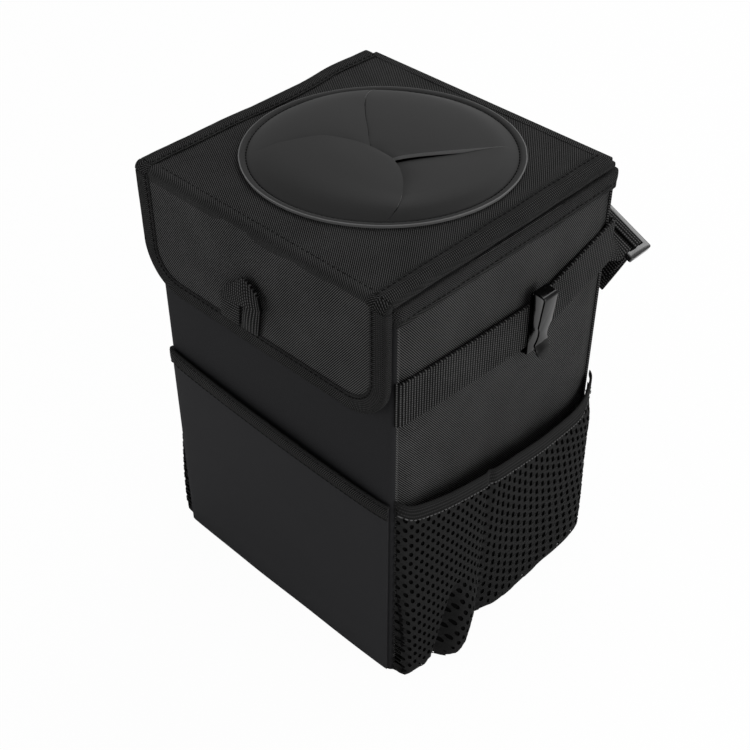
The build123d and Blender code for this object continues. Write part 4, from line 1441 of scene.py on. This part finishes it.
@dataclass
class Webbing:
    """The straps and the pull loop."""

    maker: Maker
    width: float = 25.0
    thick: float = 1.5
    tilt: float = 25.0
    bar: float = 1.75
    adjuster: tuple[float, float, float] = (73.5, 87.5, 191.5)
    wall: float = 81.3
    start: float = -76.4
    seam: float = -73.0
    clip: float = 15.5
    levels: tuple[float, float, float] = (187.4, 183.4, 199.0)
    bow: float = 1.6
    wall_end: float = 77.0
    strand: float = 94.0
    behind: float = 99.0
    tail: float = 42.0

    def __post_init__(self) -> None:
        """Works out the adjuster's slanting directions."""
        tilt = math.radians(self.tilt)
        self.along_bar = Vector((-math.cos(tilt), 0, math.sin(tilt)))
        self.off_bar = Vector((math.sin(tilt), 0, math.cos(tilt)))
        self.middle = Vector((self.adjuster[0], 0, self.adjuster[2]))
        self.above = self.bar + 0.25 + self.thick / 2

    def ribbon(self, name: str, stations: Sequence[tuple[Vector, Vector]], node: str) -> None:
        """A ribbed band through stations, centred on them.

        Args:
            name: The piece's name.
            stations: Points of its middle line, each with the way across the band.
            node: The node that it stands for.
        """
        lengths = [0.0]
        for (first, _), (second, _) in zip(stations, stations[1:]):
            lengths.append(lengths[-1] + (second - first).length)
        total = lengths[-1]

        def place(along: float, across: float) -> Vector:
            point, way = stations[round(along * (len(stations) - 1))]
            return point + way.normalized() * (self.width * (across - 0.5))

        obj = cloth_grid(name, (len(stations) - 1, 10), place, (total, self.width))
        layer = obj.data.uv_layers.active.data
        for loop in obj.data.loops:
            share = layer[loop.index].uv.x / (total * MM)
            layer[loop.index].uv.x = lengths[round(share * (len(stations) - 1))] * MM
        apply_modifier(obj, "SOLIDIFY", thickness=self.thick * MM, offset=0.0)
        apply_modifier(obj, "BEVEL", width=0.35 * self.thick * MM, segments=2, limit_method="ANGLE")
        self.maker.done(obj, "bin", "webbing", "webbing", replaces=[node])

    def wall_stations(self, side: int, end: float) -> list[tuple[Vector, Vector]]:
        """Stations of the strap along a side wall, from the front seam to an end."""
        stations = []
        face = self.wall + self.thick / 2
        sewn, clip, last = self.levels
        count = 64

        def level(y: float) -> float:
            if y < self.clip:
                return mix(sewn, clip, (y - self.seam) / (self.clip - self.seam))
            return mix(clip, last, (y - self.clip) / (end - self.clip))

        for index in range(count + 1):
            y = mix(self.start, end, index / count)
            share = min(max((y - self.seam) / (end - self.seam), 0), 1)
            bow = self.bow * math.sin(math.pi * share) ** 0.9
            bow -= 2.0 * (1 - smooth((y - self.start) / 2.6))
            eased = sum(level(y + shift) for shift in (-5, -2.5, 0, 2.5, 5)) / 5
            stations.append((Vector((side * (face + bow), y, eased)), UP))
        return stations

    def right_strap(self) -> None:
        """Along the wall, twisted onto the adjuster and sewn round its near bar."""
        stations = self.wall_stations(1, self.wall_end)
        tilt = math.radians(self.tilt)
        first = stations[-1][0]
        last = self.middle + self.off_bar * self.above
        count = 14
        for index in range(1, count + 1):
            share = index / count
            eased = smooth(share)
            point = first.lerp(last, eased)
            point.y = mix(self.wall_end, self.adjuster[1], share)
            angle = tilt + (1 - eased) * (QUARTER - tilt)
            stations.append((point, Vector((-math.cos(angle), 0, math.sin(angle)))))
        stations.append((last + Vector((0, 88.8, 0)), self.along_bar))
        count = 16
        for index in range(count + 1):
            angle = math.pi * index / count
            spot = self.middle + self.off_bar * (self.above * math.cos(angle))
            stations.append((spot + Vector((0, 89.6 + 1.65 * math.sin(angle), 0)), self.along_bar))
        for y in (88.4, 87.0, 85.6, 84.6):
            stations.append((self.middle - self.off_bar * self.above + Vector((0, y, 0)), self.along_bar))
        self.ribbon("right_strap_webbing", stations, "right_strap")

    def back_strap(self) -> None:
        """Along the left wall, in a hanging bow behind the bin and through the adjuster."""
        stations = self.wall_stations(-1, 73.0)
        level = stations[-1][0].z
        radius = 4.5 - self.thick / 2
        for index in range(1, 11):
            angle = QUARTER * index / 10
            spot = Vector((-78.3 - radius * math.cos(angle), 74.3 + radius * math.sin(angle), level))
            stations.append((spot, UP))
        last = self.middle - self.off_bar * self.bar
        bow = [(-76.8, 199.0), (-66.0, 198.2), (-28.0, 170.3), (22.0, 156.0), (58.0, 167.0), (last.x, last.z)]
        points = [Vector((x, 0, z)) for x, z in bow]
        count = 70
        for index in range(1, count + 1):
            share = index / count
            spot = curve_point(points, share)
            ahead = curve_point(points, min(share + 0.01, 1.0)) - curve_point(points, share - 0.01)
            spot.y = mix(78.1, self.strand, smooth((spot.x + 76.8) / 116.3))
            turned = Vector((-ahead.z, 0, ahead.x)).normalized()
            closing = smooth((share - 0.86) / 0.14)
            stations.append((spot, turned.lerp(self.along_bar, closing)))
        for reach in (-0.6, 0.8, 1.9):
            spot = self.middle + self.off_bar * reach
            stations.append((spot + Vector((0, self.strand, 0)), self.along_bar))
        for index in range(9):
            angle = math.pi * index / 8
            spot = self.middle + self.off_bar * (2.0 + 0.75 * math.sin(angle))
            y = mix(self.strand, self.behind, (1 - math.cos(angle)) / 2)
            stations.append((spot + Vector((0, y, 0)), self.along_bar))
        for index in range(1, 17):
            drop = self.tail * index / 16
            sway = 1.2 * math.sin(drop / self.tail * math.pi)
            spot = self.middle - self.off_bar * (drop - 1.5) + Vector((0, self.behind + sway, 0))
            stations.append((spot, self.along_bar))
        self.ribbon("back_strap_webbing", stations, "back_strap")

    def patch(
        self, name: str, corners: Sequence[Sequence[float]], turned: bool, fullness: float
    ) -> bpy.types.Object:
        """A stretch of the pull loop between two edges.

        Args:
            name: The piece's name.
            corners: Its lower edge and its upper edge, each as points from left to right.
            turned: Whether the ribs lie level.
            fullness: How far it swells outwards, in millimetres.

        Returns:
            The new piece.
        """
        low, high = ([Vector(point) for point in edge] for edge in corners)
        length = (low[-1] - low[0]).length
        tall = (high[len(high) // 2] - low[len(low) // 2]).length

        def place(along: float, across: float) -> Vector:
            first = curve_point(low, along)
            point = first.lerp(curve_point(high, along), across)
            swell = fullness * math.sin(math.pi * along) * math.sin(math.pi * min(across + 0.1, 1.0))
            return point + Vector((0, -swell, 0))

        obj = cloth_grid(name, (24, 16), place, (length, tall))
        if turned:
            turn_map(obj)
        apply_modifier(obj, "SOLIDIFY", thickness=1.3 * MM, offset=0.0)
        apply_modifier(obj, "BEVEL", width=0.4 * MM, segments=2, limit_method="ANGLE")
        return obj

    def pull_loop(self) -> None:
        """Two legs sewn side by side above the flap's tape and the folded roof over them."""
        foot = ((-25.2, -84.1, 186.4), (-12.2, -84.1, 186.2))
        head = ((-21.8, -84.8, 200.6), (-9.2, -85.2, 202.4))
        left = self.patch("left_leg", [foot, head], True, 0.4)
        foot = ((-10.4, -84.1, 186.2), (1.4, -84.3, 187.2))
        head = ((-6.0, -85.4, 202.6), (6.4, -86.0, 206.0))
        right = self.patch("right_leg", [foot, head], False, 0.6)
        lower = ((-21.9, -85.9, 199.4), (-15.0, -86.3, 200.4), (-8.2, -86.8, 202.0))
        lower += ((-1.0, -87.2, 204.4), (7.6, -87.2, 206.8))
        upper = ((-21.3, -85.6, 203.4), (-17.5, -85.9, 208.2), (-10.8, -86.3, 213.4))
        upper += ((-3.0, -86.7, 219.2), (6.8, -87.4, 213.6))
        roof = self.patch("pull_loop_webbing", [lower, upper], False, 0.6)
        activate(roof)
        for part in (left, right):
            part.select_set(True)
        bpy.ops.object.join()
        self.maker.done(roof, "flap", "webbing", "webbing", replaces=["pull_loop"])

    def build(self) -> None:
        """Makes every strap."""
        self.right_strap()
        self.back_strap()
        self.pull_loop()


@dataclass
class Inside:
    """The waterproof liner and the fold that the lid hangs on."""

    maker: Maker

    def liner(self) -> None:
        """The open bag of thin sheet, a little slack between the boards."""
        low, high = node_box("liner")
        radius = 3.0
        floor_share = 0.2
        half = (high - low) / 2
        centre = (high + low) / 2

        def outline(share: float) -> Vector:
            runs = [2 * (half.x - radius), 2 * (half.y - radius)] * 2
            arc = QUARTER * radius
            distance = share * (sum(runs) + 4 * arc)
            turn = 0.0
            corner = Vector((half.x - radius, radius - half.y, 0))
            for index, run in enumerate(runs):
                heading = Vector((math.sin(turn), -math.cos(turn), 0))
                onward = Vector((-heading.y, heading.x, 0))
                start = Vector((-onward.x * (half.x - radius), -onward.y * (half.y - radius), 0))
                start += Vector((heading.x * (half.x - radius), heading.y * (half.y - radius), 0))
                if distance <= run or index == 3 and distance <= run + 1e-6:
                    return start + onward * distance + heading * radius
                distance -= run
                corner = start + onward * run
                if distance <= arc:
                    angle = distance / radius
                    return corner + (heading * math.cos(angle) + onward * math.sin(angle)) * radius
                distance -= arc
                turn += QUARTER
            return corner

        def place(along: float, across: float) -> Vector:
            edge = outline(along % 1.0)
            if across < floor_share:
                reach = across / floor_share
                level = low.z + 0.3 + 0.2 * ripple(*edge, 9.0)
                return Vector((edge.x * reach + centre.x, edge.y * reach + centre.y, level))
            rise = (across - floor_share) / (1 - floor_share)
            z = mix(low.z + 0.3, high.z - 0.4, rise)
            slack = 0.5 * (1 + ripple(edge.x, edge.y, z, 34.0)) * math.sin(math.pi * rise) ** 0.5
            inward = 1 - slack / half.x
            return Vector((edge.x * inward + centre.x, edge.y * inward + centre.y, z))

        length = 4 * (half.x + half.y)
        tall = high.z - low.z + half.x
        obj = cloth_grid("liner_bag", (200, 70), place, (length, tall))
        weld(obj)
        edit_all(obj, bpy.ops.mesh.normals_make_consistent, inside=False)
        thicken(obj, 0.4)
        self.maker.done(obj, "bin", "liner_sheet", "liner_sheet", replaces=["liner"])

    def back_fold(self) -> None:
        """The cloth that turns from the lid's back edge down to the back wall."""
        low, high = node_box("back_panel")
        radius = 2.2
        lead = 3.5
        reach = high.x - 4.2
        back = high.y + 0.03
        top = high.z + 0.03

        def place(along: float, across: float) -> Vector:
            angle = QUARTER * min(max((across - 0.2) / 0.6, 0.0), 1.0)
            y = back - radius + radius * math.sin(angle) - lead * max(0.2 - across, 0.0) / 0.2
            z = top - radius + radius * math.cos(angle) - lead * max(across - 0.8, 0.0) / 0.2
            return Vector((reach * (2 * along - 1), y, z))

        size = (2 * reach, 1.6 * radius + 2 * lead)
        obj = cloth_grid("back_fold_cloth", (60, 12), place, size)
        thicken(obj, CLOTH_THICKNESS)
        self.maker.done(obj, None, "panel_cloth", "lid_cloth")
        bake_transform(obj)

    def build(self) -> None:
        """Makes what is hidden."""
        self.liner()
        self.back_fold()


def soften_node(maker: Maker, node: str, slot: str, finish: str, bevel: float) -> None:
    """Puts a hard node's own form in its place, with its sharp edges eased.

    Args:
        maker: Finishes the piece.
        node: The node's name.
        slot: Handed on to the maker, which does not use it.
        finish: The material's name.
        bevel: The eased edge's width in millimetres.
    """
    obj = add_object(node + "_eased", bpy.data.objects[node].data.copy())
    weld(obj, 0.002)
    edit_all(obj, bpy.ops.mesh.dissolve_limited, angle_limit=math.radians(2))
    sharp = math.radians(35)
    apply_modifier(obj, "BEVEL", width=bevel * MM, segments=3, limit_method="ANGLE", angle_limit=sharp)
    maker.done(obj, "bin", slot, finish, replaces=[node], angle=30)


NODE_FINISHES = {
    "bottom_panel": "side_cloth",
    "lid_lining": "lining_cloth",
    "flap_lining": "lining_cloth",
    "front_loop_strip": "loop_pile",
    "flap_hook_strip": "hook_pile",
}


@dataclass(frozen=True)
class Softbox:
    """One soft lamp, aimed at the middle of the bin."""

    name: str
    place: tuple[float, float, float]
    size: float
    power: float


@dataclass
class Studio:
    """The pale floor, the lamps and the camera."""

    camera_place: tuple[float, float, float] = (0.3693, -0.3889, 0.5709)
    azimuth: float = 43.91
    elevation: float = 40.65
    lens: float = 63.16
    aim: tuple[float, float, float] = (0.0, 0.0, 0.13)
    lamps: tuple[Softbox, ...] = (
        Softbox("right_lamp", (1.1, 0.15, 0.5), 0.8, 7.2),
        Softbox("front_lamp", (-0.5, -1.1, 0.6), 0.9, 4.3),
        Softbox("top_lamp", (-0.1, 0.8, 1.1), 0.9, 7.6),
    )
    ambient: float = 0.3
    glossy: float = 0.5
    floor_glow: float = 0.97
    floor_level: float = -0.0006

    def camera(self) -> None:
        """The camera at the photograph's viewing angle."""
        data = bpy.data.cameras.new("camera")
        camera = add_object("camera", data)
        turn = math.radians(self.azimuth)
        rise = math.radians(self.elevation)
        back = Vector((math.sin(turn) * math.cos(rise), -math.cos(turn) * math.cos(rise), math.sin(rise)))
        camera.location = self.camera_place
        camera.rotation_euler = (-back).to_track_quat("-Z", "Y").to_euler()
        data.lens = self.lens
        data.sensor_width = 36.0
        bpy.context.scene.camera = camera

    def lights(self) -> None:
        """The soft lamps and the pale world."""
        for lamp in self.lamps:
            data = bpy.data.lights.new(lamp.name, "AREA")
            data.size = lamp.size
            data.energy = lamp.power
            obj = add_object(lamp.name, data)
            obj.location = lamp.place
            obj.rotation_euler = (Vector(self.aim) - Vector(lamp.place)).to_track_quat("-Z", "Y").to_euler()
        world = bpy.data.worlds.new("pale_world")
        bpy.context.scene.world = world
        world.use_nodes = True
        sheet = NodeSheet(world.node_tree)
        background = world.node_tree.nodes["Background"]
        background.inputs["Color"].default_value = (1, 1, 1, 1)
        path = sheet.node("ShaderNodeLightPath")
        seen = sheet.maths("MULTIPLY_ADD", path.outputs["Is Camera Ray"], 1.0 - self.ambient, self.ambient)
        shine = self.glossy - self.ambient
        strength = sheet.maths("MULTIPLY_ADD", path.outputs["Is Glossy Ray"], shine, seen)
        sheet.feed(background.inputs["Strength"], strength)

    def floor(self) -> None:
        """A wide pale floor that keeps a faint shadow."""
        deselect()
        bpy.ops.mesh.primitive_plane_add(size=8, location=(0, 0, self.floor_level))
        floor = bpy.context.object
        floor.name = "floor"
        material = bpy.data.materials.new("pale_floor")
        material.use_nodes = True
        sheet = NodeSheet(material.node_tree)
        tree = material.node_tree
        shader = tree.nodes["Principled BSDF"]
        shader.inputs["Base Color"].default_value = (0.9, 0.9, 0.9, 1)
        shader.inputs["Roughness"].default_value = 0.9
        shader.inputs["Specular IOR Level"].default_value = 0.1
        glow = sheet.node("ShaderNodeEmission")
        glow.inputs["Strength"].default_value = 1.0
        path = sheet.node("ShaderNodeLightPath")
        blend = sheet.node("ShaderNodeMixShader")
        sheet.feed(blend.inputs[0], sheet.maths("MULTIPLY", path.outputs["Is Camera Ray"], self.floor_glow))
        tree.links.new(shader.outputs[0], blend.inputs[1])
        tree.links.new(glow.outputs[0], blend.inputs[2])
        tree.links.new(blend.outputs[0], tree.nodes["Material Output"].inputs[0])
        floor.data.materials.append(material)

    def build(self) -> None:
        """Sets the whole studio."""
        self.camera()
        self.lights()
        self.floor()
        bpy.context.scene.view_settings.view_transform = "Standard"


def main() -> None:
    """Builds the bin's looks around the frame, piece by piece."""
    logging.basicConfig(level=logging.INFO, format="%(name)s: %(message)s")
    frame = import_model()
    Studio().build()
    wardrobe = Wardrobe()
    maker = Maker(wardrobe)
    Inside(maker).build()
    for name, node in frame["nodes"].items():
        wardrobe.dress(node, NODE_FINISHES.get(name, "stiff_board"))
    walls = BinWalls(maker)
    walls.build()
    FrontPocket(maker, walls).build()
    for side in (1, -1):
        MeshPocket(maker, walls, side).build()
    Lid(maker).build()
    Flap(maker).build()
    Webbing(maker).build()
    soften_node(maker, "strap_adjuster", "adjuster_plastic", "glossy_plastic", 0.45)
    for name in ("right_bag_clip", "left_bag_clip"):
        soften_node(maker, name, "clip_steel", "black_plated_steel", 0.18)


if __name__ == "__main__":
    main()
